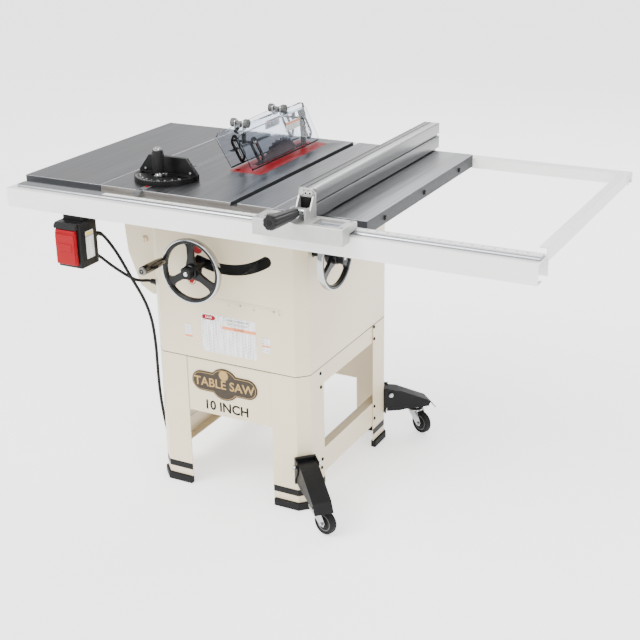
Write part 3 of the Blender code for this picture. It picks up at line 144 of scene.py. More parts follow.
# ---- node helpers ------------------------------------------------------------------
class Finish:
    """A Principled material built up one node at a time."""

    def __init__(self, name, colour, roughness=0.5, metallic=0.0):
        self.material = bpy.data.materials.new(name)
        self.material.use_nodes = True
        self.tree = self.material.node_tree
        self.shader = self.tree.nodes["Principled BSDF"]
        self.shader.inputs["Base Color"].default_value = (*colour, 1)
        self.shader.inputs["Roughness"].default_value = roughness
        self.shader.inputs["Metallic"].default_value = metallic
        self.place = self.tree.nodes.new("ShaderNodeTexCoord")

    def put(self, node, **values):
        """Add a node and set its inputs by name; a socket value is linked."""
        made = self.tree.nodes.new(f"ShaderNode{node}")
        for name, value in values.items():
            self.feed(made.inputs[name.replace("_", " ")], value)
        return made

    def give(self, **values):
        """Set the shader's inputs by name."""
        for name, value in values.items():
            self.shader.inputs[name.replace("_", " ")].default_value = value

    def maths(self, operation, first, second):
        """Return the result of a sum on two sockets or numbers."""
        made = self.tree.nodes.new("ShaderNodeMath")
        made.operation = operation
        self.feed(made.inputs[0], first)
        self.feed(made.inputs[1], second)
        return made.outputs["Value"]

    def feed(self, socket, value):
        """Link a socket or set a plain value."""
        if isinstance(value, bpy.types.NodeSocket):
            self.tree.links.new(value, socket)
        else:
            socket.default_value = value

    def stretched(self, scale):
        """Return Object coordinates stretched by a scale in X, Y and Z."""
        mapping = self.put("Mapping", Vector=self.place.outputs["Object"])
        mapping.inputs["Scale"].default_value = scale
        return mapping.outputs["Vector"]

    def noise(self, scale, detail=3.0, stretch=(1, 1, 1), roughness=0.55):
        """Return a noise factor in object space."""
        made = self.put("TexNoise", Vector=self.stretched(stretch), Scale=scale, Detail=detail,
                        Roughness=roughness)
        return made.outputs["Fac"]

    def ramp(self, factor, low, high, first=0.0, last=1.0):
        """Return a colour ramp between two colours (or greys) over a factor's range."""
        made = self.put("ValToRGB", Fac=factor)
        stops = made.color_ramp.elements
        stops[0].position, stops[1].position = first, last
        stops[0].color, stops[1].color = rgba(low), rgba(high)
        return made.outputs["Color"]

    def mix(self, factor, first, second):
        """Return a mix of two colours by a factor."""
        made = self.tree.nodes.new("ShaderNodeMix")
        made.data_type = "RGBA"
        self.feed(made.inputs["Factor"], factor)
        self.feed(made.inputs["A"], first if isinstance(first, bpy.types.NodeSocket) else rgba(first))
        self.feed(made.inputs["B"], second if isinstance(second, bpy.types.NodeSocket) else rgba(second))
        return made.outputs["Result"]

    def bump(self, height, strength, distance=0.001):
        """Roughen the surface by a height factor; several bumps chain."""
        made = self.put("Bump", Strength=strength, Distance=distance, Height=height)
        socket = self.shader.inputs["Normal"]
        if socket.is_linked:
            self.tree.links.new(socket.links[0].from_socket, made.inputs["Normal"])
        self.tree.links.new(made.outputs["Normal"], socket)

    def colour_by(self, socket):
        """Feed the base colour."""
        self.tree.links.new(socket, self.shader.inputs["Base Color"])

    def roughness_by(self, factor, low, high):
        """Vary roughness between two values over a factor."""
        made = self.put("MapRange", Value=factor, To_Min=low, To_Max=high)
        self.tree.links.new(made.outputs["Result"], self.shader.inputs["Roughness"])


def rgba(value):
    """Return a colour as four numbers, from three or one."""
    return (*value, 1) if isinstance(value, tuple) else (value, value, value, 1)


# ---- finishes ----------------------------------------------------------------------
PALE = 0.1               # a colour brighter than this keeps its full shine
LABEL_WHITE = (0.86, 0.86, 0.85)
LABEL_PRINT = (0.22, 0.22, 0.22)


def floor_paint():
    """Plain pale floor."""
    made = Finish("floor_paint", (0.93, 0.93, 0.93), 0.6)
    made.roughness_by(made.noise(4), 0.55, 0.65)
    made.give(Emission_Color=rgba(1.0), Emission_Strength=FLOOR_GLOW)
    return made.material


def powder_coat(name, colour, shade, roughness=0.38):
    """Sprayed powder paint: a fine orange peel, with slow changes of tone."""
    made = Finish(name, colour, roughness)
    made.colour_by(made.mix(made.ramp(made.noise(3.5, 2), 0.0, 1.0, 0.35, 0.7), colour, shade))
    made.roughness_by(made.noise(40, 2), roughness - 0.06, roughness + 0.08)
    made.bump(made.noise(900, 2), 0.10, 0.0006)
    made.bump(made.noise(55, 1), 0.06, 0.001)
    pale = max(colour) > PALE
    made.give(Coat_Weight=0.25 if pale else 0.0, Coat_Roughness=0.2,
              Specular_IOR_Level=0.5 if pale else 0.12)
    return made.material


def ground_iron():
    """Cast iron ground along its length: streaks and a few stains."""
    made = Finish("ground_iron", (0.30, 0.305, 0.325), 0.32, 1.0)
    streaks = made.noise(260, 4, (1, 0.012, 1))
    cloud = made.noise(5, 3)
    ground = made.mix(made.ramp(streaks, 0.0, 1.0, 0.3, 0.75), (0.13, 0.133, 0.142), (0.26, 0.264, 0.28))
    ground = made.mix(made.ramp(cloud, 0.0, 1.0, 0.55, 0.8), ground, (0.19, 0.185, 0.182))
    made.colour_by(ground)
    made.roughness_by(streaks, 0.24, 0.42)
    made.bump(streaks, 0.05, 0.0004)
    return made.material


def cast_edge():
    """Machined edge of the iron table under brown protective wax."""
    made = Finish("cast_edge", (0.20, 0.185, 0.17), 0.5, 0.75)
    grain = made.noise(300, 4, (0.04, 1, 1))
    made.colour_by(made.mix(grain, (0.13, 0.12, 0.11), (0.29, 0.265, 0.24)))
    made.roughness_by(grain, 0.38, 0.6)
    made.bump(made.noise(700, 3), 0.15, 0.0004)
    return made.material


def casting(name, colour, metallic=0.4, roughness=0.55, grain=0.25):
    """Sand-cast metal under thin paint."""
    made = Finish(name, colour, roughness, metallic)
    darker = tuple(c * 0.78 for c in colour)
    made.colour_by(made.mix(made.noise(60, 3), darker, colour))
    made.roughness_by(made.noise(90, 2), roughness - 0.08, roughness + 0.1)
    made.bump(made.noise(420, 3), grain, 0.0006)
    made.give(Specular_IOR_Level=0.5 if max(colour) > PALE else 0.18)
    return made.material


def brushed(name, colour, along, roughness=0.3, strength=0.05):
    """Metal drawn or brushed along an axis (a stretch with a small number on that axis)."""
    made = Finish(name, colour, roughness, 1.0)
    lines = made.noise(420, 3, along)
    darker = tuple(c * 0.86 for c in colour)
    made.colour_by(made.mix(lines, darker, colour))
    made.roughness_by(lines, roughness - 0.07, roughness + 0.1)
    made.bump(lines, strength, 0.0003)
    return made.material


def plated(name, colour, roughness=0.07):
    """Bright plating with faint waviness."""
    made = Finish(name, colour, roughness, 1.0)
    made.roughness_by(made.noise(30, 2), roughness, roughness + 0.08)
    made.bump(made.noise(25, 1), 0.03, 0.001)
    return made.material


def plastic(name, colour, roughness=0.4, grain=0.12, scale=700):
    """Moulded plastic with a light spark-eroded grain."""
    made = Finish(name, colour, roughness)
    lighter = tuple(min(1.0, c * 1.12 + 0.003) for c in colour)
    made.colour_by(made.mix(made.noise(14, 2), colour, lighter))
    made.roughness_by(made.noise(80, 2), roughness - 0.06, roughness + 0.08)
    made.bump(made.noise(scale, 2), grain, 0.0004)
    made.give(Specular_IOR_Level=0.14)
    return made.material


def clear_sheet():
    """Clear polycarbonate with faint haze and fine scratches."""
    made = Finish("clear_sheet", (0.80, 0.85, 0.93), 0.06)
    made.roughness_by(made.ramp(made.noise(320, 3, (1, 0.05, 1)), 0.0, 1.0, 0.5, 0.8), 0.04, 0.22)
    made.give(Transmission_Weight=1.0, IOR=1.25)
    return made.material


def wheel_gloss():
    """Black stoved enamel on the handwheels."""
    made = Finish("wheel_gloss", (0.004, 0.004, 0.0045), 0.20)
    made.roughness_by(made.noise(35, 3), 0.16, 0.32)
    made.bump(made.noise(160, 2), 0.08, 0.0008)
    made.give(Specular_IOR_Level=0.22)
    return made.material


def printed_label(name, band, lines=0.0042, heading=(0.80, 0.25, 0.09)):
    """A white sticker with grey rows of small print and a coloured heading band.

    band is the heading's lower and upper height and the X it starts at.
    """
    made = Finish(name, LABEL_WHITE, 0.35)
    split = made.put("SeparateXYZ", Vector=made.place.outputs["Object"])
    rows = made.maths("GREATER_THAN", made.maths("PINGPONG", split.outputs["Z"], lines / 2), lines * 0.30)
    words = made.ramp(made.noise(420, 1, (1, 1, 0.04)), 0.0, 1.0, 0.46, 0.50)
    printed = made.mix(made.maths("MULTIPLY", rows, words), LABEL_WHITE, LABEL_PRINT)
    low, high, start = band
    inside = 1.0
    for axis, test, edge in (("Z", "GREATER_THAN", low), ("Z", "LESS_THAN", high),
                             ("X", "GREATER_THAN", start)):
        inside = made.maths("MULTIPLY", inside, made.maths(test, split.outputs[axis], edge))
    made.colour_by(made.mix(inside, printed, heading))
    return made.material


def make_finishes():
    """Return the saw's finishes by plain name."""
    return {
        "cream": powder_coat("cream_paint", (0.72, 0.615, 0.43), (0.68, 0.575, 0.395)),
        "white": powder_coat("white_paint", (0.83, 0.83, 0.815), (0.79, 0.79, 0.775), 0.34),
        "black_coat": powder_coat("black_coat", (0.006, 0.006, 0.0065), (0.010, 0.010, 0.0105), 0.42),
        "iron": ground_iron(),
        "edge": cast_edge(),
        "wing_side": casting("wing_side", (0.045, 0.047, 0.052), 0.2, 0.46, 0.3),
        "aluminium": brushed("satin_aluminium", (0.27, 0.275, 0.28), (1, 0.01, 1), 0.30),
        "tube": brushed("rail_tube", (0.36, 0.37, 0.385), (0.01, 1, 1), 0.26),
        "head": casting("fence_head_casting", (0.50, 0.50, 0.485), 0.45, 0.36, 0.18),
        "chrome": plated("chrome", (0.42, 0.43, 0.44)),
        "handle": plated("handle_plating", (0.16, 0.155, 0.145), 0.16),
        "zinc": plated("zinc_plate", (0.38, 0.39, 0.40), 0.24),
        "blade": brushed("blade_steel", (0.10, 0.102, 0.108), (1, 1, 1), 0.30),
        # painted shade: a near-black finish for the cabinet's inside and the table's throat and recess
        # floors
        "inner": casting("painted_inside_shade", (0.05, 0.052, 0.055), 0.4, 0.6),
        "trunnion": casting("trunnion_casting", (0.16, 0.165, 0.17), 0.4, 0.6),
        "gloss": wheel_gloss(),
        "gauge": casting("gauge_casting", (0.008, 0.008, 0.0085), 0.0, 0.34, 0.3),
        "black": plastic("black_plastic", (0.007, 0.007, 0.0075), 0.38),
        "grip": plastic("grip_plastic", (0.012, 0.012, 0.0125), 0.42, 0.2, 500),
        "grey": plastic("grey_plastic", (0.11, 0.115, 0.11), 0.45),
        "red": plastic("red_plastic", (0.24, 0.0, 0.004), 0.34, 0.05),
        "clear": clear_sheet(),
        "rubber": plastic("rubber", (0.008, 0.008, 0.008), 0.62, 0.2, 380),
        "bronze": casting("badge_bronze", (0.050, 0.040, 0.030), 0.25, 0.45, 0.2),
        "gold": casting("badge_gold", (0.42, 0.27, 0.10), 0.6, 0.38, 0.1),
        # painted shadow for the seam between the cabinet and the stand
        "seam": plastic("seam_shadow", (0.06, 0.045, 0.03), 0.6, 0.02),
        "ink": plastic("black_ink", (0.006, 0.006, 0.006), 0.42, 0.02),
        "paper": plastic("scale_paper", (0.78, 0.78, 0.76), 0.35, 0.02),
        "motor": casting("motor_paint", (0.02, 0.02, 0.022), 0.0, 0.45),
        "shield_print": printed_label("shield_print", (0.9870, 0.9940, -9.0), 0.0050),
        "switch_print": printed_label("switch_print", (0.7700, 0.7740, -9.0), 0.0046, (0.3, 0.3, 0.3)),
        "yellow": plastic("caution_yellow", (0.75, 0.55, 0.05), 0.4, 0.02),
    }


# ---- mesh helpers ------------------------------------------------------------------
def rectangle(low, high):
    """Return the corners of a rectangle in a plane."""
    return [(low[0], low[1]), (high[0], low[1]), (high[0], high[1]), (low[0], high[1])]


def arc(centre, radius, start, end, count):
    """Return count + 1 points on an arc; angles in degrees from the first axis."""
    angles = [math.radians(start + (end - start) * k / count) for k in range(count + 1)]
    return [(centre[0] + radius * math.cos(a), centre[1] + radius * math.sin(a)) for a in angles]


def rounded(low, high, radius, count=5):
    """Return a rectangle's outline with round corners."""
    x0, y0, x1, y1 = low[0] + radius, low[1] + radius, high[0] - radius, high[1] - radius
    corners = [((x1, y0), -90), ((x1, y1), 0), ((x0, y1), 90), ((x0, y0), 180)]
    return [p for centre, start in corners for p in arc(centre, radius, start, start + 90, count)]


def slab(outline, low, high, axis="z"):
    """Extrude an outline along an axis; the outline is in the other two axes, in order."""
    place = {"z": lambda u, v: (u, v, low), "y": lambda u, v: (u, low, v), "x": lambda u, v: (low, u, v)}
    direction = {"z": (0, 0, 1), "y": (0, 1, 0), "x": (1, 0, 0)}[axis]
    mesh = bmesh.new()
    face = mesh.faces.new([mesh.verts.new(place[axis](u, v)) for u, v in outline])
    grown = bmesh.ops.extrude_face_region(mesh, geom=[face])["geom"]
    moved = [item for item in grown if isinstance(item, bmesh.types.BMVert)]
    bmesh.ops.translate(mesh, verts=moved, vec=Vector(direction) * (high - low))
    bmesh.ops.recalc_face_normals(mesh, faces=mesh.faces)
    return mesh


def block(low, high):
    """Return a box between two corners."""
    return slab(rectangle(low[:2], high[:2]), low[2], high[2])


def turned(profile, axis="z", place=(0, 0, 0), steps=48):
    """Turn a profile of (radius, height) points about an axis through a place."""
    mesh = bmesh.new()
    verts = [mesh.verts.new((r, 0.0, h)) for r, h in profile]
    edges = [mesh.edges.new(pair) for pair in zip(verts, verts[1:])]
    if profile[0][0] > 0 or profile[-1][0] > 0:
        edges.append(mesh.edges.new((verts[-1], verts[0])))
    bmesh.ops.spin(mesh, geom=verts + edges, cent=(0, 0, 0), axis=(0, 0, 1), angle=math.tau,
                   steps=steps, use_merge=True)
    bmesh.ops.remove_doubles(mesh, verts=mesh.verts, dist=1e-6)
    order = {"x": lambda c: (c.z, c.x, c.y), "y": lambda c: (c.y, c.z, c.x), "z": lambda c: c[:]}[axis]
    for vert in mesh.verts:
        vert.co = order(vert.co.copy())
    bmesh.ops.recalc_face_normals(mesh, faces=mesh.faces)
    bmesh.ops.translate(mesh, verts=mesh.verts, vec=Vector(place))
    return mesh


def skinned(rings, loop=False, capped=False):
    """Join rings of points with faces; loop joins the last to the first, capped closes the ends."""
    mesh = bmesh.new()
    rows = [[mesh.verts.new(point) for point in ring] for ring in rings]
    for first, second in zip(rows, rows[1:] + rows[:1] if loop else rows[1:]):
        for k in range(len(first)):
            n = (k + 1) % len(first)
            mesh.faces.new((first[k], first[n], second[n], second[k]))
    if capped:
        mesh.faces.new(rows[0][::-1])
        mesh.faces.new(rows[-1])
    bmesh.ops.recalc_face_normals(mesh, faces=mesh.faces)
    return mesh


def joined(*meshes):
    """Gather several closed shapes into one mesh."""
    whole = bmesh.new()
    for part in meshes:
        data = bpy.data.meshes.new("gathered")
        part.to_mesh(data)
        part.free()
        whole.from_mesh(data)
        bpy.data.meshes.remove(data)
    return whole


def placed(mesh, matrix):
    """Move a bmesh by a matrix and return it."""
    bmesh.ops.transform(mesh, matrix=matrix, verts=mesh.verts)
    return mesh


def linked(name, data):
    """Return a new object in the scene for a mesh or curve."""
    item = bpy.data.objects.new(name, data)
    bpy.context.scene.collection.objects.link(item)
    return item


def piece(name, mesh, finish, body, bevel=0.0, segments=2, angle=35):
    """Make one visible piece from a bmesh in saw places, riding on a body."""
    bmesh.ops.translate(mesh, verts=mesh.verts, vec=ORIGIN)
    data = bpy.data.meshes.new(name)
    mesh.to_mesh(data)
    mesh.free()
    item = linked(name, data)
    data.materials.append(finish)
    data.shade_smooth()
    data.set_sharp_from_angle(angle=math.radians(angle))
    if bevel:
        soften(item, bevel, segments)
    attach(item, body)
    return item


def soften(item, width, segments):
    """Round a piece's sharp edges."""
    bevel = item.modifiers.new("soft_edges", "BEVEL")
    bevel.width = width
    bevel.segments = segments
    bevel.limit_method = "ANGLE"
    bevel.angle_limit = math.radians(32)
    bevel.harden_normals = True


def dressed(node, finish, bevel=0.0006, segments=2, edges=None):
    """Show a CAD node as a merged copy with soft edges; edges is a finish for its upright faces."""
    mesh = bmesh.new()
    mesh.from_mesh(NODES[node].data)
    bmesh.ops.remove_doubles(mesh, verts=mesh.verts, dist=2e-5)
    bmesh.ops.dissolve_limit(mesh, angle_limit=math.radians(0.6), verts=mesh.verts, edges=mesh.edges)
    bmesh.ops.translate(mesh, verts=mesh.verts, vec=-ORIGIN)
    item = piece(f"{node}_skin", mesh, finish, NODES[node]["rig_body"], bevel, segments)
    if edges:
        item.data.materials.append(edges)
        for face in item.data.polygons:
            face.material_index = int(abs(face.normal.z) < 0.5)
    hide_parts(node)
    return item


def coat_inside(item, finish, middle, reach):
    """Give an open shell's inward-looking faces a dark finish of painted shade; reach limits how far out
    they lie.
    """
    item.data.materials.append(finish)
    for face in item.data.polygons:
        away = (face.center - middle) * Vector((1, 1, 0))
        inward = face.normal.dot(away) < -0.02 and abs(away.x) < reach[0] and abs(away.y) < reach[1]
        if inward and abs(face.normal.z) < 0.3:
            face.material_index = 1


# ---- repeated pieces ---------------------------------------------------------------
def repeating_tree():
    """Return a Geometry Nodes tree that puts a shape on each point, turned by its "turn" attribute."""
    tree = bpy.data.node_groups.new("repeated_shapes", "GeometryNodeTree")
    sockets = tree.interface
    sockets.new_socket("Geometry", in_out="INPUT", socket_type="NodeSocketGeometry")
    sockets.new_socket("Shape", in_out="INPUT", socket_type="NodeSocketObject")
    sockets.new_socket("Finish", in_out="INPUT", socket_type="NodeSocketMaterial")
    sockets.new_socket("Geometry", in_out="OUTPUT", socket_type="NodeSocketGeometry")
    ends = tree.nodes.new("NodeGroupInput"), tree.nodes.new("NodeGroupOutput")
    shape = tree.nodes.new("GeometryNodeObjectInfo")
    turn = tree.nodes.new("GeometryNodeInputNamedAttribute")
    turn.data_type = "FLOAT_VECTOR"
    turn.inputs["Name"].default_value = "turn"
    size = tree.nodes.new("GeometryNodeInputNamedAttribute")
    size.data_type = "FLOAT_VECTOR"
    size.inputs["Name"].default_value = "size"
    spread = tree.nodes.new("GeometryNodeInstanceOnPoints")
    solid = tree.nodes.new("GeometryNodeRealizeInstances")
    coat = tree.nodes.new("GeometryNodeSetMaterial")
    for start, end in (
        (ends[0].outputs["Geometry"], spread.inputs["Points"]),
        (ends[0].outputs["Shape"], shape.inputs["Object"]),
        (shape.outputs["Geometry"], spread.inputs["Instance"]),
        (turn.outputs["Attribute"], spread.inputs["Rotation"]),
        (size.outputs["Attribute"], spread.inputs["Scale"]),
        (spread.outputs["Instances"], solid.inputs["Geometry"]),
        (solid.outputs["Geometry"], coat.inputs["Geometry"]),
        (ends[0].outputs["Finish"], coat.inputs["Material"]),
        (coat.outputs["Geometry"], ends[1].inputs["Geometry"]),
    ):
        tree.links.new(start, end)
    return tree


REPEATING = repeating_tree()


def repeated(name, shape, spots, finish, body):
    """Put a shape (a bmesh about the origin) at each spot: (place, turn in degrees, size)."""
    pattern = bpy.data.meshes.new(f"{name}_pattern")
    shape.to_mesh(pattern)
    shape.free()
    pattern.shade_smooth()
    pattern.set_sharp_from_angle(angle=math.radians(35))
    source = linked(f"{name}_pattern", pattern)
    points = bpy.data.meshes.new(name)
    points.from_pydata([ORIGIN + Vector(place) for place, turn, size in spots], [], [])
    turns = points.attributes.new("turn", "FLOAT_VECTOR", "POINT")
    sizes = points.attributes.new("size", "FLOAT_VECTOR", "POINT")
    for k, (place, turn, size) in enumerate(spots):
        turns.data[k].vector = [math.radians(a) for a in turn]
        sizes.data[k].vector = size
    carrier = linked(f"{name}_points", points)
    step = carrier.modifiers.new("repeat", "NODES")
    step.node_group = REPEATING
    inputs = {s.name: s.identifier for s in REPEATING.interface.items_tree if s.in_out == "INPUT"}
    step[inputs["Shape"]] = source
    step[inputs["Finish"]] = finish
    bpy.context.view_layer.update()
    graph = bpy.context.evaluated_depsgraph_get()
    data = bpy.data.meshes.new_from_object(carrier.evaluated_get(graph), depsgraph=graph)
    data.name = name
    bpy.data.objects.remove(carrier)
    bpy.data.objects.remove(source)
    item = linked(name, data)
    if not data.materials:
        data.materials.append(finish)
    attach(item, body)
    return item


FULL_SIZE = (1, 1, 1)


def hex_bolt(across=0.010, height=0.0042, washer=0.0068):
    """Return a hexagon head on its washer, standing on Z = 0."""
    head = slab(arc((0, 0), across / math.sqrt(3), 0, 300, 5), 0.0010, height)
    return joined(head, turned([(0, 0), (washer, 0), (washer, 0.0012), (0, 0.0012)], steps=20))


def dome_screw(radius=0.0042, height=0.0026):
    """Return a domed screw head with a hexagon socket, standing on Z = 0."""
    socket = radius * 0.45
    profile = [(0, 0), (radius, 0), (radius * 0.97, height * 0.45), (radius * 0.75, height * 0.9),
               (socket * 1.05, height), (socket, height * 0.3), (0, height * 0.3)]
    return turned(profile, steps=18)


# ---- lettering ---------------------------------------------------------------------
def lettering(name, words, size, place, finish, body, turn=(90, 0, 0), relief=0.00012, weight=0.0):
    """Make flat letters standing on a face; turn is in degrees."""
    text = bpy.data.curves.new(name, "FONT")
    text.body = words
    text.size = size
    text.align_x = "CENTER"
    text.align_y = "CENTER"
    text.extrude = relief
    text.offset = weight
    text.resolution_u = 3
    holder = linked(f"{name}_text", text)
    bpy.context.view_layer.update()
    graph = bpy.context.evaluated_depsgraph_get()
    data = bpy.data.meshes.new_from_object(holder.evaluated_get(graph), depsgraph=graph)
    bpy.data.objects.remove(holder)
    tilt = [math.radians(a) for a in turn]
    spin = (Matrix.Rotation(tilt[2], 4, "Z") @ Matrix.Rotation(tilt[1], 4, "Y")
            @ Matrix.Rotation(tilt[0], 4, "X"))
    data.transform(Matrix.Translation(at(*place)) @ spin)
    data.name = name
    data.materials.clear()
    data.materials.append(finish)
    item = linked(name, data)
    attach(item, body)
    return item


# ---- the saw's numbers the looks are built on (saw places) -------------------------
TABLE_TOP = 0.8985
BLADE_X = 0.012
ARBOR_Y = 0.465
WHEEL_RADIUS = 0.089
HANDLE_END = 0.1078      # the crank handle's end, from the middle of the rim
HEIGHT_HUB = (-0.0250, 0.050, 0.6806)
TILT_HUB = (0.330, 0.178, 0.733)
FRONT = 0.118            # the cabinet's front face
REAR = 0.645             # its rear face
RIGHT = 0.268            # its right side
LEFT = -0.210            # its left side
CHAMFER = 0.029          # its upright corners
FENCE_X = 0.368
MITER_X = -0.135
MITER_Y = 0.125
LEVER = (-0.075, 0.9255)
KNUCKLE_Y = (0.262, 0.462)
KNUCKLE_Z = 1.030
CORD_RADIUS = 0.00425
SHIELD_PINS = ((ARBOR_Y - 0.190, 0.9780), (ARBOR_Y + 0.083, 0.9880))   # in Y and Z
POINTER_AT = (-0.046, 0.7185)
LOCK_PRINT_AT = (-0.071, 0.627)
BADGE_AT = (0.015, 0.334)


def on_axis(axis):
    """Return the turn that stands a Z-up shape on a face looking along an axis, in degrees."""
    return {"-y": (90, 0, 0), "y": (-90, 0, 0), "x": (0, 90, 0), "-x": (0, -90, 0), "z": (0, 0, 0)}[axis]


# ---- castings and sheet metal ------------------------------------------------------
PLAIN_PARTS = (   # nodes, finish, width of the soft edge, its segments
    ("table_insert", "red", 0.0004, 2),
    ("motor_cover stand_skirt brace_left brace_right", "cream", 0.0007, 2),
    ("leg_front_left leg_front_right leg_rear_left leg_rear_right", "cream", 0.0009, 2),
    ("foot_front_left foot_front_right foot_rear_left foot_rear_right", "rubber", 0.0015, 3),
    ("front_rail rear_rail end_bracket", "white", 0.0007, 2),
    ("scale_rail", "tube", 0.0004, 2),
    ("trunnion cradle carriage", "trunnion", 0.0004, 2),
    ("motor", "motor", 0.0004, 2),
    ("motor_pulley arbor", "zinc", 0.0004, 2),
    ("belt", "rubber", 0.0004, 2),
    ("blade", "blade", 0.0004, 2),
    ("cord_gland", "black", 0.0004, 2),
    ("fence_head", "head", 0.0010, 3),
    ("fence_beam", "aluminium", 0.0005, 2),
    ("shield_left shield_right", "clear", 0.0006, 2),
    ("miter_bar", "trunnion", 0.0005, 2),
    ("miter_head", "gauge", 0.0008, 3),
    ("switch_box", "black", 0.0006, 2),
    ("switch_paddle", "red", 0.0006, 3),
    ("height_wheel tilt_wheel", "gloss", 0.0008, 3),
    ("height_handle tilt_handle", "handle", 0.0004, 2),
    ("height_knob tilt_knob", "black", 0.0012, 3),
    ("caster_bracket_front caster_pedal_front", "black_coat", 0.0005, 2),
    ("caster_bracket_rear caster_pedal_rear", "black_coat", 0.0005, 2),
    ("caster_fork_front caster_fork_rear", "chrome", 0.0004, 2),
    ("caster_wheel_front caster_wheel_rear", "rubber", 0.0006, 2),
)
THROAT = (0.250, 0.004, 0.680)   # inside the table's skirt: half width, front and rear


def dress_plain(paint):
    """Show each part that has a single finish."""
    for nodes, finish, width, segments in PLAIN_PARTS:
        for node in nodes.split():
            dressed(node, paint[finish], width, segments)


def dress_castings(paint):
    """Show the table and wings with their ground tops, the table's throat and recess floors darkened with
    painted shade, and the cabinet with painted shade on its inside.
    """
    table = dressed("table", paint["iron"], 0.0008, edges=paint["edge"])
    table.data.materials.append(paint["inner"])
    half, front, rear = THROAT
    # faces inside the throat, and upward faces below the top, get the painted shade
    for face in table.data.polygons:
        x, y = face.center.x - ORIGIN.x, face.center.y - ORIGIN.y
        within = abs(x) < half and front < y < rear
        if face.center.z < TABLE_HIGH.z - 0.002 and (within or face.normal.z > 0.5):
            face.material_index = 2
    for wing in ("wing_left", "wing_right"):
        dressed(wing, paint["iron"], 0.0008, edges=paint["wing_side"])
    cabinet = dressed("cabinet", paint["cream"], 0.0007)
    # the cabinet's inward-looking walls get painted shade instead of their cream paint
    coat_inside(cabinet, paint["inner"], at(0.029, 0.3815, 0), (0.238, 0.262))


def dress_spine(paint):
    """Show the guard's spine: a black splitter, a clear top bar and grey knuckles."""
    spine = dressed("guard_spine", paint["ink"], 0.0004)
    spine.data.materials.append(paint["clear"])
    spine.data.materials.append(paint["grey"])
    for face in spine.data.polygons:
        y, z = face.center.y - ORIGIN.y, face.center.z - TABLE_TOP
        if z > 0.1235:
            face.material_index = 2
        elif z > 0.1035 and y < ARBOR_Y + 0.110:
            face.material_index = 1


# ---- handwheels --------------------------------------------------------------------
def spoke_web(degrees):
    """Return one broad spoke that flares into the hub and the rim, about the wheel's own axis."""
    half = [(0.012, 0.0150), (0.022, 0.0135), (0.034, 0.0098), (0.052, 0.0088), (0.066, 0.0105),
            (0.0745, 0.0165)]
    outline = [(r, -w) for r, w in half] + [(r, w) for r, w in half[::-1]]
    return placed(slab(outline, -0.0068, 0.0030), Matrix.Rotation(math.radians(degrees), 4, "Z"))


def wheel_trim(paint, name, hub, axis, body, knob_body, crank_body, crank_degrees):
    """Add a handwheel's polished rim, hub boss, lock knob lobes and the handle's end."""
    r, w = WHEEL_RADIUS + 0.0003, 0.0079
    sign = -1 if axis == "y" else 1
    rim = [(r - 0.0062, -w * 0.4), (r - 0.0035, -w), (r - 0.0008, -w * 0.8), (r, -w * 0.3), (r, w * 0.3),
           (r - 0.0008, w * 0.8), (r - 0.0030, w), (r - 0.0052, w * 0.98), (r - 0.0062, w * 0.80),
           (r - 0.0062, 0.0)]
    cap = [(0, 0.0292), (0.0052, 0.0292), (0.0062, 0.0284), (0.0062, 0.0280), (0, 0.0280)]
    rim, cap = ([(a, sign * b) for a, b in profile] for profile in (rim, cap))
    piece(f"{name}_rim", turned(rim, axis, hub, 72), paint["chrome"], body)
    piece(f"{name}_lock_cap", turned(cap, axis, hub, 24), paint["chrome"], knob_body)
    upright = Matrix.Rotation(math.radians(90), 4, "X")
    if axis == "x":
        upright = Matrix.Rotation(math.radians(90), 4, "Z") @ upright
    stance = Matrix.Translation(hub) @ upright
    spokes = joined(*(spoke_web(degrees) for degrees in (90, 210, 330)))
    piece(f"{name}_spokes", placed(spokes, stance), paint["gloss"], body, 0.0012, 3)
    lobe = [(0, 0.0118), (0.0055, 0.0118), (0.0055, 0.026), (0.0042, 0.0280), (0, 0.0280)]
    lobes = [turned(lobe, steps=20, place=(0.0132 * math.cos(a), 0.0132 * math.sin(a), 0))
             for a in (math.radians(45 + 90 * k) for k in range(4))]
    piece(f"{name}_lock_lobes", placed(joined(*lobes), stance), paint["grip"], knob_body)
    a, reach, end = math.radians(crank_degrees), WHEEL_RADIUS - 0.007, HANDLE_END
    socket = turned([(0, end - 0.0010), (0.0030, end - 0.0010), (0.0030, end + 0.0008),
                     (0.0058, end + 0.0008), (0.0064, end), (0.0064, end - 0.0012), (0, end - 0.0012)],
                    steps=24, place=(math.cos(a) * reach, math.sin(a) * reach, 0))
    piece(f"{name}_handle_bolt", placed(socket, stance), paint["ink"], crank_body)


# ---- labels and marks on the cabinet -----------------------------------------------
def sticker(name, low, high, finish, y=FRONT, thick=0.0004, radius=0.003, body="saw"):
    """Put a thin label with round corners on the cabinet's front face."""
    return piece(name, slab(rounded(low, high, radius, 4), y - thick, y + 0.0001, "y"), finish, body)


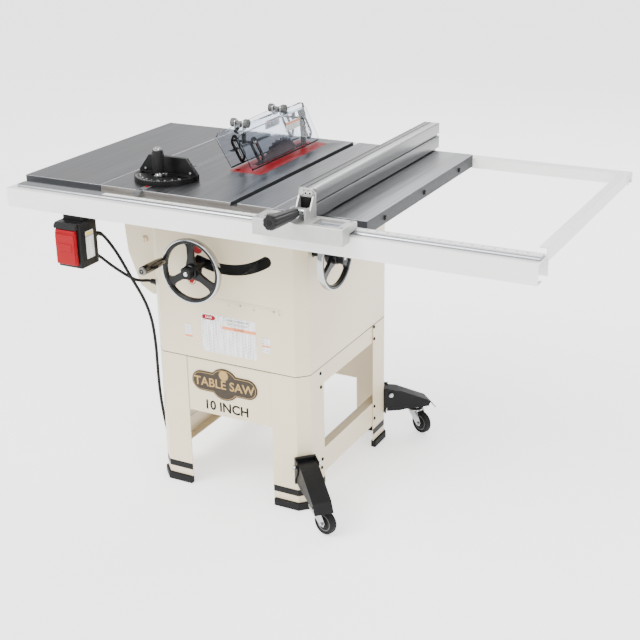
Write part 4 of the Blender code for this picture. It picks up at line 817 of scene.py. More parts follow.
def cabinet_labels(paint):
    """Add the printed labels of the cabinet's front."""
    shift = ORIGIN.x
    proud = FRONT - 0.00045
    main = printed_label("instruction_print", (0.5005, 0.5095, 0.018 + shift))
    sticker("instruction_label", (-0.048, 0.4275), (0.123, 0.538), main)
    sticker("instruction_emblem", (-0.0445, 0.521), (-0.003, 0.5345), paint["red"], FRONT - 0.0004, 0.0002,
            0.0062)
    for name, words, size, place, finish in (
        ("emblem_words", "SAW", 0.010, (-0.0238, FRONT - 0.0006, 0.5278), "paper"),
        ("heading_words", "10-INCH TABLE SAW", 0.0072, (0.066, proud, 0.529), "ink"),
        ("heading_words_low", "READ THE MANUAL FIRST", 0.0052, (0.066, proud, 0.5185), "ink"),
        ("band_words", "CAUTION", 0.0068, (0.070, proud, 0.505), "ink"),
    ):
        lettering(name, words, size, place, paint[finish], "saw")
    for name, low, high, ink, band in (
        ("left_label", (-0.102, 0.458), (-0.079, 0.497), "small_print", (0.4600, 0.4665, -0.2)),
        ("right_label", (0.140, 0.456), (0.166, 0.4975), "side_print", (0.4725, 0.4775, -0.2)),
        ("door_label", (-0.178, 0.652), (-0.143, 0.672), "door_print", (0.6640, 0.6690, -0.3)),
    ):
        sticker(name, low, high, printed_label(ink, (*band[:2], band[2] + shift), 0.0052), radius=0.002)


def bevel_scale(paint):
    """Add the bevel scale under the slot: a plate with 46 ticks and four numbers."""
    start, length, last = -0.034, 0.230, 45
    sticker("bevel_scale", (-0.041, 0.567), (0.2035, 0.586), paint["cream"], thick=0.0007, radius=0.002)
    spots = [((start + length * k / last, FRONT - 0.0008, 0.5806 if k % 5 else 0.5795), (0, 0, 0),
              (1, 1, 1 if k % 5 else 1.7)) for k in range(last + 1)]
    repeated("bevel_ticks", block((-0.0002, -0.0001, -0.0018), (0.0002, 0.0001, 0.0018)), spots,
             paint["grey"], "saw")
    for k in range(4):
        place = (start + length * k / 3, FRONT - 0.0007, 0.5720)
        lettering(f"bevel_number_{k}", str(15 * k), 0.0068, place, paint["grey"], "saw")


def badge_outline(grow):
    """Return the badge's outline: a long plate with round ends and a raised round middle."""
    cx, cz = BADGE_AT
    half, low, top = 0.104 + grow, 0.0295 + grow, 0.0470 + grow
    rise = math.degrees(math.asin(low / top))
    right = arc((cx + half - low, cz), low, -90, 90, 14)
    upper = arc((cx, cz), top, rise, 180 - rise, 18)
    left = arc((cx - half + low, cz), low, 90, 270, 14)
    lower = arc((cx, cz), top, 180 + rise, 360 - rise, 18)
    return right + upper + left + lower


def skirt_badge(paint):
    """Add the cast badge and the plain lettering on the front skirt."""
    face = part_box("stand_skirt")[0].y - ORIGIN.y
    piece("badge_plate", slab(badge_outline(0), face - 0.0032, face + 0.0002, "y"), paint["bronze"], "saw",
          0.0012, 3)
    rim = slab(badge_outline(-0.0035), face - 0.0037, face - 0.0030, "y")
    piece("badge_rim", rim, paint["gold"], "saw", 0.0003)
    piece("badge_field", slab(badge_outline(-0.0050), face - 0.0041, face - 0.0035, "y"), paint["bronze"],
          "saw", 0.0002)
    teeth = []
    for k in range(24):
        a, b = math.tau * k / 24, math.tau * (k + 0.7) / 24
        teeth += [(0.015 + 0.0160 * math.cos(a), 0.3625 + 0.0160 * math.sin(a)),
                  (0.015 + 0.0132 * math.cos(b), 0.3625 + 0.0132 * math.sin(b))]
    piece("badge_blade", slab(teeth, face - 0.0047, face - 0.0040, "y"), paint["gold"], "saw")
    lettering("badge_words", "TABLE SAW", 0.0365, (0.015, face - 0.0042, 0.3325), paint["gold"], "saw",
              relief=0.0005, weight=0.0005)
    lettering("skirt_words", "10 INCH", 0.0385, (0.017, face - 0.0001, 0.2615), paint["ink"], "saw",
              weight=0.0011)


def prints_behind_wheel(paint):
    """Add the red tilt pointer and the round red print seen through the height wheel."""
    pointer = arc(POINTER_AT, 0.0135, 20, 160, 12) + arc(POINTER_AT, 0.0135, 200, 340, 8)
    pointer = slab(pointer, FRONT - 0.0030, FRONT - 0.0015, "y")
    piece("tilt_pointer", pointer, paint["red"], "tilting_cradle")
    for name, radius, end, count, proud, sunk, finish in (
        ("lock_print", 0.0125, 352, 44, 0.0005, 0.0001, "red"),
        ("lock_print_ring", 0.0105, 352, 44, 0.0007, 0.0, "cream"),
        ("lock_print_arrow", 0.0085, 300, 36, 0.0009, 0.0, "red"),
    ):
        disc = slab(arc(LOCK_PRINT_AT, radius, 0, end, count), FRONT - proud, FRONT + sunk, "y")
        piece(name, disc, paint[finish], "saw")


# ---- fixings -----------------------------------------------------------------------
def facing(axis, places):
    """Return the spots of fixings that stand on a face looking along an axis."""
    return [(place, on_axis(axis), FULL_SIZE) for place in places]


def stand_fixings(paint):
    """Add the bolts of the stand, bevel scale, rear rail, wings and rear panel."""
    sides = ((0.203, 0.384), (0.2045, 0.343), (0.2076, 0.122), (0.542, 0.394), (0.544, 0.356),
             (0.546, 0.136), (0.547, 0.096), (0.203, 0.098))
    stand = (facing("x", [(RIGHT, y, z) for y, z in sides]) + facing("-x", [(LEFT, y, z) for y, z in sides])
             + facing("y", [(x, REAR, z) for z in (0.384, 0.343, 0.215) for x in (-0.150, 0.208)]))
    scale = facing("-y", [(x, FRONT - 0.0006, 0.5765) for x in (-0.0295, 0.0785, 0.1795)])
    rail = facing("y", [(x, 0.7235, 0.8735) for x in (-0.40, -0.20, 0.0, 0.20, 0.42, 0.80)])
    wing = facing("x", [(0.5035, y, 0.8790) for y in (0.10, 0.34, 0.58)])
    panel = facing("y", [(x, REAR, z) for x in (0.215, -0.155) for z in (0.50, 0.66, 0.82)])
    for name, shape, spots, finish in (
        ("stand_bolts", dome_screw(0.0052, 0.0030), stand, "ink"),
        ("scale_screws", dome_screw(0.0034, 0.0018), scale, "zinc"),
        ("rear_rail_bolts", hex_bolt(0.011, 0.0050, 0.0075), rail, "zinc"),
        ("wing_bolts", hex_bolt(0.010, 0.0045, 0.0068), wing, "motor"),
        ("panel_screws", dome_screw(0.0038, 0.0022), panel, "zinc"),
    ):
        repeated(name, shape, spots, paint[finish], "saw")


def leg_bands(paint):
    """Add the black stripe that goes round each leg above its foot."""
    reach = CHAMFER + 0.0766
    bands = []
    for sx, sy, cx, cy in ((1, 1, LEFT, FRONT), (-1, 1, RIGHT, FRONT), (-1, -1, RIGHT, REAR),
                           (1, -1, LEFT, REAR)):
        outer, inner = ([(cx + sx * sunk, cy + sy * reach), (cx + sx * sunk, cy + sy * CHAMFER),
                         (cx + sx * CHAMFER, cy + sy * sunk), (cx + sx * reach, cy + sy * sunk)]
                        for sunk in (-0.0004, 0.001))
        bands.append(slab(outer + inner[::-1], 0.0430, 0.0620))
    piece("leg_stripes", joined(*bands), paint["ink"], "saw")


def stand_seam(paint):
    """Add a painted shadow line along the seam between the cabinet and the stand."""
    def outline(proud):
        return [(LEFT + CHAMFER, FRONT - proud), (RIGHT - CHAMFER, FRONT - proud),
                (RIGHT + proud, FRONT + CHAMFER), (RIGHT + proud, REAR - CHAMFER),
                (RIGHT - CHAMFER, REAR + proud), (LEFT + CHAMFER, REAR + proud),
                (LEFT - proud, REAR - CHAMFER), (LEFT - proud, FRONT + CHAMFER)]

    low, high, proud, sunk = 0.3996, 0.4018, 0.0002, -0.0010
    rings = [[(x, y, z) for x, y in outline(out)]
             for out, z in ((proud, low), (proud, high), (sunk, high), (sunk, low))]
    piece("stand_seam", skinned(rings, loop=True), paint["seam"], "saw")


# ---- rails and fence ---------------------------------------------------------------
def rail_scale(paint):
    """Add the ruler tape on the scale rail, in inches to the right of the blade."""
    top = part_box("scale_rail")[1].z
    tape = block((-0.220, -0.0445, top - 0.0003), (0.928, -0.0285, top + 0.00025))
    piece("ruler_tape", tape, paint["paper"], "saw")
    inch = 0.0254
    spots = []
    for k in range(-56, 288):
        x = BLADE_X + inch * k / 8
        size = {0: 1.0, 4: 0.72}.get(k % 8, 0.42)
        if -0.215 < x < 0.925:
            spots.append(((x, -0.0440 + 0.0035 * size, top + 0.0003), (0, 0, 0), (1, size, 1)))
    repeated("ruler_ticks", block((-0.00022, -0.0035, -0.0001), (0.00022, 0.0035, 0.0001)), spots,
             paint["ink"], "saw")
    for k in range(-6, 36):
        lettering(f"ruler_{k + 6}", str(abs(k)), 0.0072, (BLADE_X + inch * k, -0.0325, top + 0.0003),
                  paint["ink"], "saw", (0, 0, 0), relief=0.0001)


def fence_trim(paint):
    """Add the fence's end cap, bosses, gussets, cursor window and line, clamp stud and fixings, with
    painted shade for the cap's recess and the beam's top grooves.
    """
    x, body = FENCE_X, "rip_fence"
    low, high, front = 0.9015, 0.9713, -0.034
    cap = [(-0.0225, low), (0.0225, low), (0.0225, high - 0.008), (0.0150, high - 0.0006),
           (-0.0150, high - 0.0006), (-0.0225, high - 0.008)]
    piece("fence_end_cap", slab([(x + u, v) for u, v in cap], front - 0.0035, front - 0.0002, "y"),
          paint["head"], body, 0.0009, 3)
    bosses = [turned([(0, -0.0075), (0.0050, -0.0075), (0.0062, -0.0060), (0.0062, 0.0)], "y",
                     (x + s, front - 0.0035, high - 0.0105), 28) for s in (-0.0115, 0.0, 0.0115)]
    piece("fence_cap_bosses", joined(*bosses), paint["head"], body)
    for s in (-0.0185, 0.0185):
        web = [(front - 0.0360, 0.9075), (front - 0.0036, 0.9075), (front - 0.0036, high - 0.016),
               (front - 0.0090, high - 0.016)]
        piece(f"fence_gusset_{'left' if s < 0 else 'right'}",
              placed(slab(web, s - 0.0022, s + 0.0022, "x"), Matrix.Translation((x, 0, 0))), paint["head"],
              body, 0.0008, 3)
    # a flat black plate on the cap's front is painted shade standing in for its recess
    recess = slab([(x + u, v) for u, v in rectangle((-0.0160, 0.9080), (0.0160, 0.9500))],
                  front - 0.0046, front - 0.0034, "y")
    piece("fence_cap_recess", recess, paint["ink"], body)
    # black lines along the beam's top are painted shade standing in for its grooves
    for s in (-0.0040, 0.0205, -0.0205):
        wide = 0.0016 if s == -0.0040 else 0.0007
        piece(f"fence_top_line_{round(s * 1e4)}", block((x + s - wide, front + 0.002, high - 0.0002),
                                                        (x + s + wide, 0.7115, high + 0.0003)),
              paint["ink"], body)
    tip = arc((0, 0), 0.0045, 0, 352, 44)
    pane = rounded((x + 0.045, -0.095), (x + 0.105, -0.053), 0.004)
    window = slab(pane, 0.8990, 0.9000)
    piece("cursor_window", window, paint["clear"], body)
    hair = block((x + 0.0749, -0.094, 0.8984), (x + 0.0751, -0.054, 0.8989))
    piece("cursor_line", hair, paint["red"], body)
    piece("clamp_stud", slab([(x - 0.0845 + u, -0.070 + v) for u, v in tip], 0.9030, 0.9100), paint["zinc"],
          body, 0.0005)
    screws = [((x + s, y, 0.9075), (0, 0, 0), FULL_SIZE) for s, y in
              ((-0.099, -0.046), (-0.099, -0.098), (0.118, -0.046), (0.118, -0.098), (-0.034, -0.046),
               (0.030, -0.046))]
    repeated("fence_screws", dome_screw(0.0040, 0.0020), screws, paint["zinc"], body)


def fence_grip(paint):
    """Show the clamp lever as a steel shank in a fluted grip with a lobed end and a spring."""
    body = "fence_clamp"
    lean = Matrix.Translation((FENCE_X, *LEVER)) @ Matrix.Rotation(math.radians(-4.5), 4, "X")
    shank = turned([(0, -0.016), (0.0058, -0.016), (0.0058, -0.034), (0, -0.034)], "y", steps=24)
    collar = turned([(0.0060, -0.0165), (0.0125, -0.0175), (0.0125, -0.0225), (0.0060, -0.0235)], "y",
                    steps=32)
    coils = [turned([(0.0072 + 0.0012 * math.cos(math.tau * j / 8), y + 0.0012 * math.sin(math.tau * j / 8))
                     for j in range(8)], "y", steps=28) for y in (-0.0050, -0.0082, -0.0114, -0.0146)]
    piece("clamp_collar", placed(joined(shank, collar, *coils), lean), paint["chrome"], body)
    hub = turned([(0, -0.0162), (0.0088, -0.0162), (0.0098, -0.0150), (0.0098, 0.0150), (0.0088, 0.0162),
                  (0, 0.0162)], "x", steps=32)
    piece("clamp_hub", placed(hub, lean), paint["zinc"], body)
    flutes, steps = 8, 64
    stations = [(-0.0240, 0.0112), (-0.0300, 0.0122), (-0.0600, 0.0148), (-0.1100, 0.0168),
                (-0.1300, 0.0173), (-0.1395, 0.0170), (-0.1420, 0.0150)]
    angles = [math.tau * k / steps for k in range(steps)]
    dips = [0.0016 * max(0.0, math.cos(flutes * a)) ** 2 for a in angles]
    mesh = skinned([[((radius - dip) * math.cos(a), y, (radius - dip) * math.sin(a))
                     for a, dip in zip(angles, dips)] for y, radius in stations], capped=True)
    grip = piece("clamp_grip", placed(mesh, lean), paint["grip"], body, angle=40)
    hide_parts("fence_lever")
    end = turned([(0, -0.1432), (0.0062, -0.1432), (0.0070, -0.1425), (0.0070, -0.1415), (0, -0.1415)], "y",
                 steps=32)
    piece("clamp_end_cap", placed(end, lean), paint["ink"], body)


# ---- miter gauge -------------------------------------------------------------------
def gauge_trim(paint):
    """Add the gauge's degree scale, pointer, pivot screw and the knob with its chrome parts."""
    base, head = TABLE_TOP + 0.0003, "miter_gauge_head"
    top = base + 0.0125
    spots = []
    for k in range(-12, 13):
        a = math.radians(-90 + k * 5)
        size = 1.0 if k % 3 == 0 else 0.6
        reach = 0.0815 - 0.0035 * size
        spots.append(((MITER_X + reach * math.cos(a), MITER_Y + reach * math.sin(a), top + 0.0001),
                      (0, 0, math.degrees(a)), (size, 1, 1)))
    repeated("gauge_ticks", block((-0.0035, -0.00025, -0.0001), (0.0035, 0.00025, 0.0001)), spots,
             paint["paper"], head)
    for k in range(-4, 5):
        a = math.radians(-90 + k * 15)
        lettering(f"gauge_number_{k + 4}", str(abs(15 * k)), 0.0050,
                  (MITER_X + 0.0695 * math.cos(a), MITER_Y + 0.0695 * math.sin(a), top + 0.0001),
                  paint["paper"], head, (0, 0, k * 15))
    pivot = turned([(0, 0), (0.0078, 0), (0.0078, 0.0020), (0.0068, 0.0032), (0, 0.0032)], "z",
                   (MITER_X, MITER_Y - 0.006, top), 32)
    piece("gauge_pivot", pivot, paint["zinc"], head)
    screws = facing("-y", [(MITER_X + s, MITER_Y + 0.0048, base + 0.0185) for s in (-0.070, 0.070)])
    repeated("gauge_screws", dome_screw(0.0038, 0.0022), screws, paint["zinc"], head)
    knob_y, foot = 0.090, base + 0.0128
    grip = [(0, foot + 0.012), (0.0125, foot + 0.012), (0.0146, foot + 0.016), (0.0150, foot + 0.064),
            (0.0132, foot + 0.0700), (0, foot + 0.0700)]
    held = piece("gauge_knob", turned(grip, "z", (MITER_X, knob_y, 0), 40), paint["grip"], "miter_clamp")
    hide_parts("miter_knob")
    bright = [(0, foot), (0.0130, foot), (0.0138, foot + 0.0015), (0.0138, foot + 0.0035),
              (0.0100, foot + 0.0050), (0.0085, foot + 0.0080), (0.0105, foot + 0.0120), (0, foot + 0.0120)]
    cap = [(0, foot + 0.0695), (0.0102, foot + 0.0695), (0.0100, foot + 0.0740), (0.0086, foot + 0.0768),
           (0.0050, foot + 0.0780), (0, foot + 0.0780)]
    piece("gauge_knob_metal", joined(turned(bright, "z", (MITER_X, knob_y, 0), 40),
                                     turned(cap, "z", (MITER_X, knob_y, 0), 40)), paint["chrome"],
          "miter_clamp")
    grooves = [((MITER_X + 0.0149 * math.cos(a), knob_y + 0.0149 * math.sin(a), foot + 0.041),
                (0, 0, math.degrees(a)), FULL_SIZE) for a in (math.tau * k / 20 for k in range(20))]
    rib = turned([(0, -0.019), (0.0008, -0.019), (0.0008, 0.019), (0, 0.019)], steps=8)
    repeated("gauge_knob_ribs", rib, grooves, paint["grip"], "miter_clamp")
    pointer = slab([(MITER_X - 0.0042, 0.0290), (MITER_X + 0.0042, 0.0290), (MITER_X + 0.0042, 0.0360),
                    (MITER_X, 0.0385), (MITER_X - 0.0042, 0.0360)], TABLE_TOP - 0.0002, TABLE_TOP + 0.0012)
    piece("gauge_pointer", pointer, paint["red"], "miter_slider", 0.0003)
    stops = [((MITER_X, y, TABLE_TOP - 0.0002), (0, 0, 0), FULL_SIZE) for y in (0.0065, 0.2600, 0.4200)]
    repeated("gauge_bar_screws", dome_screw(0.0046, 0.0004), stops, paint["ink"], "miter_slider")


# ---- blade guard -------------------------------------------------------------------
def slotted_arm(pin, low, high):
    """Return the black arm round one of a shield's slanted slots; pin is in Y and Z."""
    rise, travel = Vector((-0.585, 0.811)), 0.0654
    end = Vector(pin) - rise * travel
    lean = math.degrees(math.atan2(rise.y, rise.x))
    loops = []
    for radius in (0.0150, 0.0066):
        loops.append(arc(pin, radius, lean - 90, lean + 90, 14)
                     + arc(end, radius, lean + 90, lean + 270, 14))
    rings = [[(x, y, z) for y, z in loop]
             for loop, x in ((loops[0], low), (loops[0], high), (loops[1], high), (loops[1], low))]
    return skinned(rings, loop=True)


def guard_trim(paint):
    """Add the guard's slotted side arms, knuckle caps, pin screws and warning print."""
    body = "tilting_cradle"
    caps = []
    for y in KNUCKLE_Y:
        for s in (-1, 1):
            profile = [(0.0, 0.0), (0.0095, 0.0), (0.0115, s * 0.0006), (0.0115, s * 0.0028),
                       (0.0090, s * 0.0040), (0.0050, s * 0.0040), (0.0050, s * 0.0028), (0.0, s * 0.0028)]
            caps.append(turned(profile, "x", (BLADE_X + s * 0.0222, y, KNUCKLE_Z), 32))
    piece("knuckle_caps", joined(*caps), paint["grey"], body)
    tabs = []
    for y in KNUCKLE_Y:
        for s in (-1, 1):
            fork = arc((y, KNUCKLE_Z), 0.0098, 0, 180, 10) + [(y - 0.0098, 1.0165), (y - 0.0060, 1.0125),
                                                             (y + 0.0060, 1.0125), (y + 0.0098, 1.0165)]
            tabs.append(slab(fork, BLADE_X + s * 0.0125 - 0.0014, BLADE_X + s * 0.0125 + 0.0014, "x"))
    piece("knuckle_forks", joined(*tabs), paint["zinc"], body, 0.0004)
    for side, name in ((-1, "left"), (1, "right")):
        moving = f"{name}_shield"
        # a black strip along each shield's lower edge is painted shade, standing in for the dark look of
        # the clear sheet's edge
        edge = rectangle((ARBOR_Y - 0.200, 0.9055), (ARBOR_Y + 0.170, 0.9090))
        inner = BLADE_X + side * 0.0310
        strip = slab(edge, *sorted((inner - side * 0.0004, inner + side * 0.0034)), "x")
        piece(f"shield_edge_{name}", strip, paint["ink"], moving, 0.0003)
        arms = [slotted_arm(pin, *sorted((inner - side * 0.0036, inner - side * 0.0004)))
                for pin in SHIELD_PINS]
        piece(f"shield_arms_{name}", joined(*arms), paint["ink"], moving, 0.0004)
        label = rounded((ARBOR_Y - 0.020, 0.9700), (ARBOR_Y + 0.060, 0.9950), 0.002)
        face = inner + side * 0.0030
        piece(f"shield_label_{name}", slab(label, *sorted((face, face + side * 0.0003)), "x"),
              paint["shield_print"], moving)
        pins = facing("x" if side > 0 else "-x", [(inner + side * 0.0050, y, z) for y, z in SHIELD_PINS])
        repeated(f"shield_pins_{name}", dome_screw(0.0048, 0.0022), pins, paint["zinc"], body)


# ---- switch ------------------------------------------------------------------------
def switch_trim(paint):
    """Add the switch's visor, side label, paddle frame and screws."""
    x0, x1, y0, z1 = -0.350, -0.272, -0.082, 0.812
    visor = slab([(y0 - 0.0125, z1 - 0.0150), (y0 - 0.0125, z1 - 0.0060), (y0 - 0.004, z1 + 0.0005),
                  (y0 + 0.010, z1 + 0.0005), (y0 + 0.010, z1 - 0.0030), (y0 + 0.001, z1 - 0.0120)],
                 x0 + 0.004, x1 - 0.004, "x")
    piece("switch_visor", visor, paint["black"], "saw", 0.0010, 3)
    side = slab(rounded((y0 + 0.022, 0.712), (y0 + 0.054, 0.786), 0.002), x1 - 0.0002, x1 + 0.0003, "x")
    piece("switch_label", side, paint["switch_print"], "saw")
    band = slab(rounded((y0 + 0.024, 0.776), (y0 + 0.052, 0.783), 0.001), x1 + 0.0002, x1 + 0.0005, "x")
    piece("switch_label_band", band, paint["yellow"], "saw")
    px, py, pz = (x0 + x1) / 2, y0 - 0.0075, z1 - 0.022
    frame_low, frame_high = (px - 0.0300, pz - 0.0860), (px + 0.0300, pz - 0.0060)
    outer = slab(rounded(frame_low, frame_high, 0.005), py - 0.0085, py - 0.0058, "y")
    piece("paddle_face", outer, paint["red"], "stop_paddle", 0.0012, 3)
    bar = slab(rounded((px - 0.0225, pz - 0.050), (px + 0.0225, pz - 0.030), 0.004),
               py - 0.0098, py - 0.0083, "y")
    piece("paddle_bar", bar, paint["red"], "stop_paddle", 0.0008, 3)
    screws = facing("y", [(x0 + s, -0.0105, z) for s in (0.010, 0.068) for z in (0.700, 0.802)])
    repeated("switch_screws", dome_screw(0.0036, 0.0020), screws, paint["zinc"], "saw")


# ---- motor cover -------------------------------------------------------------------
def cover_trim(paint):
    """Add louvres with black lips of painted shade, and a latch, to the motor cover."""
    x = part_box("motor_cover")[0].x - ORIGIN.x
    # the louvres' black lips are painted shade standing in for the dark slits
    slits = [((x + 0.0004, 0.350, 0.735 + 0.013 * k), (0, 0, 0), FULL_SIZE) for k in range(5)]
    lip = slab([(-0.0016, 0.0), (0.0006, -0.0030), (0.0012, 0.0), (0.0006, 0.0034)], -0.085, 0.085, "y")
    repeated("cover_louvres", lip, slits, paint["ink"], "side_cover")
    latch = joined(
        turned([(0, -0.0060), (0.0080, -0.0060), (0.0095, -0.0045), (0.0095, 0.0), (0, 0.0)], "y",
               (-0.2750, 0.2000, 0.690), 32),
        block((-0.2766, 0.1915, 0.6825), (-0.2734, 0.1945, 0.6975)))
    piece("cover_latch", latch, paint["cream"], "side_cover", 0.0006)


# ---- casters -----------------------------------------------------------------------
def caster_trim(paint, name, corner, turn_degrees):
    """Add the pivot nuts, mounting bolts, swivel plate bolts, wheel hubs and axle nuts of one caster."""
    face = Matrix.Translation((*corner, 0)) @ Matrix.Rotation(math.radians(turn_degrees), 4, "Z")

    def spot(x, y, z):
        return tuple(face @ Vector((x, y, z)))

    ends = [(spot(0.018, s * 0.0340, 0.145), (s * -90, 0, turn_degrees), FULL_SIZE) for s in (-1, 1)]
    repeated(f"pedal_nuts_{name}", hex_bolt(0.010, 0.0050, 0.0070), ends, paint["zinc"], "saw")
    plate = [(spot(0.0040, s * 0.018, 0.0945), (0, 90, turn_degrees), FULL_SIZE)
             for s in (-1, 1)]
    repeated(f"bracket_bolts_{name}", hex_bolt(0.009, 0.0040, 0.0062), plate, paint["zinc"], "saw")
    deck = [(spot(0.112 + s * 0.030, t * 0.020, 0.0885), (0, 0, turn_degrees), (0.8, 0.8, 0.8))
            for s in (-1, 1) for t in (-1, 1)]
    repeated(f"swivel_bolts_{name}", hex_bolt(0.009, 0.0040, 0.0062), deck, paint["zinc"], f"{name}_pedal")
    low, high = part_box(f"caster_wheel_{name}")
    middle = (low + high) / 2 - ORIGIN
    swing = {"front": -18, "rear": -25}[name]
    axle = Matrix.Translation(middle) @ Matrix.Rotation(math.radians(swing), 4, "Z")
    hub = [turned([(0.0045, s * 0.0060), (0.0190, s * 0.0060), (0.0205, s * 0.0078), (0.0215, s * 0.0086),
                   (0.0230, s * 0.0086), (0.0235, s * 0.0076), (0.0235, s * 0.0050), (0.0045, s * 0.0050)],
                  "y", steps=40) for s in (-1, 1)]
    piece(f"wheel_hub_{name}", placed(joined(*hub), axle), paint["grey"], f"{name}_wheel")
    nuts = [(tuple(axle @ Vector((0, s * 0.0155, 0))), (s * -90, 0, swing), FULL_SIZE) for s in (-1, 1)]
    repeated(f"axle_nuts_{name}", hex_bolt(0.0085, 0.0042, 0.0058), nuts, paint["zinc"], f"{name}_fork")


# ---- cords -------------------------------------------------------------------------
COIL_AT = (-0.400, 0.800)
COIL_BEND = 0.0825
PLUG_AT = (-0.4747, 0.800, 0.0135)
POWER_ROUTE = [
    (-0.283, -0.0094, 0.762), (-0.283, 0.0080, 0.762), (-0.277, 0.026, 0.746), (-0.255, 0.043, 0.700),
    (-0.2285, 0.060, 0.632), (-0.2165, 0.096, 0.555), (-0.2075, 0.112, 0.490), (-0.2035, 0.117, 0.420),
    (-0.2045, 0.120, 0.360), (-0.2120, 0.132, 0.290), (-0.2210, 0.150, 0.220), (-0.2270, 0.172, 0.140),
    (-0.2330, 0.200, 0.070), (-0.2440, 0.236, 0.024), (-0.2620, 0.285, 0.0060), (-0.2900, 0.345, 0.0048),
    (-0.3300, 0.430, 0.0048), (-0.3720, 0.520, 0.0048), (-0.3940, 0.590, 0.0048), (-0.4000, 0.650, 0.0048),
    (-0.4000, 0.7100, 0.0048),
]
MOTOR_ROUTE = [
    (-0.300, -0.0094, 0.706), (-0.300, 0.004, 0.706), (-0.291, 0.020, 0.690), (-0.275, 0.045, 0.660),
    (-0.260, 0.075, 0.630), (-0.2540, 0.105, 0.607), (-0.2545, 0.132, 0.593), (-0.2525, 0.150, 0.587),
    (-0.2470, 0.1592, 0.585), (-0.2420, 0.160, 0.585), (-0.2366, 0.160, 0.585),
]
COIL_ENTRY = [(-0.3985, 0.7255, 0.0048), (-0.3925, 0.7400, 0.0048), (-0.3805, 0.7515, 0.0048),
              (-0.3620, 0.7600, 0.0048), (-0.3430, 0.7690, 0.0048), (-0.3270, 0.7830, 0.0048)]
COIL_EXIT = [(-0.4600, 0.8745, 0.0136), (-0.4860, 0.8590, 0.0136), (-0.5010, 0.8370, 0.0136),
             (-0.5040, 0.8160, 0.0136), (-0.4970, 0.8035, 0.0136), (-0.4870, 0.8002, 0.0136),
             (-0.4800, 0.8000, 0.0135), (-0.4747, 0.8000, 0.0135)]


def coil_turns():
    """Return the coil's points: one turn on the floor, then a climb and a part turn on top of it."""
    points = []
    for k in range(47):
        degrees = 2 + 10 * k
        climb = min(1.0, max(0.0, (degrees - 195) / 55))
        height = 0.0048 + 0.0088 * climb * climb * (3 - 2 * climb)
        a = math.radians(degrees)
        points.append((COIL_AT[0] + COIL_BEND * math.cos(a), COIL_AT[1] + COIL_BEND * math.sin(a), height))
    return points


def smooth_route(points, spacing):
    """Return points at an even spacing on a smooth curve through a given route."""
    pts = [Vector(p) for p in points]
    fine = []
    for k in range(len(pts) - 1):
        a, b = pts[max(k - 1, 0)], pts[k]
        c, d = pts[k + 1], pts[min(k + 2, len(pts) - 1)]
        for step in range(12):
            t = step / 12
            fine.append(0.5 * (2 * b + (c - a) * t + (2 * a - 5 * b + 4 * c - d) * t * t
                               + (3 * b - a - 3 * c + d) * t ** 3))
    fine.append(pts[-1])
    length = run_of(fine)
    count = max(2, round(length / spacing))
    even = [fine[0]]
    walked, target = 0.0, length / count
    for p, q in zip(fine, fine[1:]):
        step = (q - p).length
        while walked + step >= target and len(even) < count:
            even.append(p.lerp(q, (target - walked) / step))
            target += length / count
        walked += step
    return even + [fine[-1]]


def run_of(points):
    """Return the length along a line of points."""
    return sum((q - p).length for p, q in zip(points, points[1:]))


def cord_curve(name, points, finish):
    """Make a round cord as one open spline."""
    curve = bpy.data.curves.new(name, "CURVE")
    curve.dimensions = "3D"
    curve.bevel_depth = CORD_RADIUS
    curve.bevel_resolution = 4
    curve.use_fill_caps = True
    spline = curve.splines.new("POLY")
    spline.points.add(len(points) - 1)
    for target, point in zip(spline.points, points):
        target.co = (*(ORIGIN + point), 1.0)
    curve.materials.append(finish)
    item = linked(name, curve)
    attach(item, "saw")
    return item


def ribbed_relief(name, points, length, wide, narrow, finish):
    """Sheathe the first part of a cord in a ribbed, tapering sleeve."""
    rings, walked, last = [], 0.0, None
    direction = (points[1] - points[0]).normalized()
    side = direction.orthogonal().normalized()
    for k, point in enumerate(points):
        walked += (point - last).length if last is not None else 0.0
        last = point
        if walked > length:
            break
        ahead = (points[k + 1] - point).normalized()
        side = (side - ahead * side.dot(ahead)).normalized()
        other = ahead.cross(side)
        radius = wide + (narrow - wide) * walked / length - (0.0006 if (k // 2) % 2 else 0.0)
        rings.append([point + (side * math.cos(a) + other * math.sin(a)) * radius
                      for a in (math.tau * j / 20 for j in range(20))])
    return piece(name, skinned(rings, capped=True), finish, "saw", angle=50)


def make_plug(paint):
    """Make the moulded plug with its blades and earth pin."""
    x, y, z = PLUG_AT
    profile = [(0, 0.0), (0.0056, 0.0), (0.0062, 0.003), (0.0056, 0.005), (0.0064, 0.008), (0.0058, 0.010),
               (0.0066, 0.013), (0.0060, 0.015), (0.0070, 0.019), (0.0112, 0.0235), (0.0128, 0.0275),
               (0.0128, 0.0490), (0.0118, 0.0520), (0, 0.0520)]
    body = piece("plug_body", turned(profile, "x", PLUG_AT, 40), paint["black"], "saw")
    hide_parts("plug")
    blades = [block((x + 0.0515, y + s - 0.0008, z - 0.003), (x + 0.068, y + s + 0.0008, z + 0.003))
              for s in (-0.006, 0.006)]
    earth = turned([(0, 0.0515), (0.0022, 0.0515), (0.0022, 0.0660), (0.0012, 0.0680), (0, 0.0680)], "x",
                   (x, y, z - 0.0078), 20)
    pins = piece("plug_pins", joined(*blades, earth), paint["zinc"], "saw", 0.0002)
    return [body, pins]


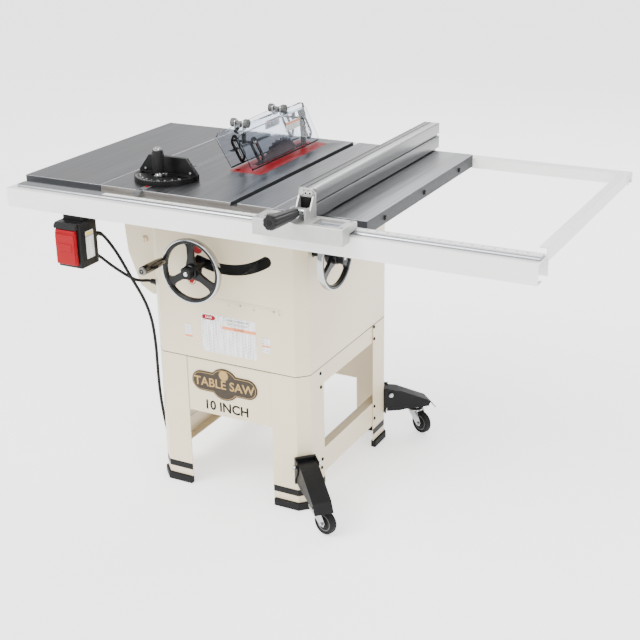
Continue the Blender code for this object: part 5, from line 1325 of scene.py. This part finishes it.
def coil_tie(paint):
    """Make the hook-and-loop strap that holds the coil."""
    a = math.radians(40)
    x, y = COIL_AT[0] + COIL_BEND * math.cos(a), COIL_AT[1] + COIL_BEND * math.sin(a)
    lean = Matrix.Translation((x, y, 0)) @ Matrix.Rotation(a, 4, "Z")
    outer = rounded((-0.0062, 0.0000), (0.0062, 0.0196), 0.0050, 6)
    inner = rounded((-0.0050, 0.0006), (0.0050, 0.0184), 0.0040, 6)
    low, high = -0.0075, 0.0075
    rings = [[(u, y, v) for u, v in outline]
             for outline, y in ((outer, low), (outer, high), (inner, high), (inner, low))]
    return piece("coil_tie", placed(skinned(rings, loop=True), lean), paint["grip"], "saw", 0.0002)


def make_cords(paint):
    """Make the power cord with its coil, tie and plug, and the motor's cord."""
    power = smooth_route(POWER_ROUTE + COIL_ENTRY + coil_turns() + COIL_EXIT, 0.006)
    cord = cord_curve("power_cord_line", power, paint["rubber"])
    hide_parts("power_cord", "cord_coil")
    pieces = make_plug(paint) + [
        coil_tie(paint), ribbed_relief("power_relief", power, 0.032, 0.0080, 0.0052, paint["black"])]
    motor = smooth_route(MOTOR_ROUTE, 0.005)
    cord = cord_curve("motor_cord_line", motor, paint["rubber"])
    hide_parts("motor_cord")
    sleeve = ribbed_relief("motor_relief", motor, 0.026, 0.0078, 0.0052, paint["black"])


# ---- the whole saw -----------------------------------------------------------------
def main():
    """Dress the saw."""
    paint = make_finishes()
    make_camera()
    make_stage()
    make_cords(paint)
    dress_castings(paint)
    dress_plain(paint)
    dress_spine(paint)
    wheel_trim(paint, "height", HEIGHT_HUB, "y", "height_handwheel", "height_lock", "height_crank", 165)
    wheel_trim(paint, "tilt", TILT_HUB, "x", "tilt_handwheel", "tilt_lock", "tilt_crank", 140)
    cabinet_labels(paint)
    bevel_scale(paint)
    skirt_badge(paint)
    prints_behind_wheel(paint)
    stand_fixings(paint)
    leg_bands(paint)
    stand_seam(paint)
    rail_scale(paint)
    fence_trim(paint)
    fence_grip(paint)
    gauge_trim(paint)
    guard_trim(paint)
    switch_trim(paint)
    cover_trim(paint)
    caster_trim(paint, "front", (0.2535, 0.1325), -45)
    caster_trim(paint, "rear", (0.2535, 0.6305), 45)
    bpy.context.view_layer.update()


main()
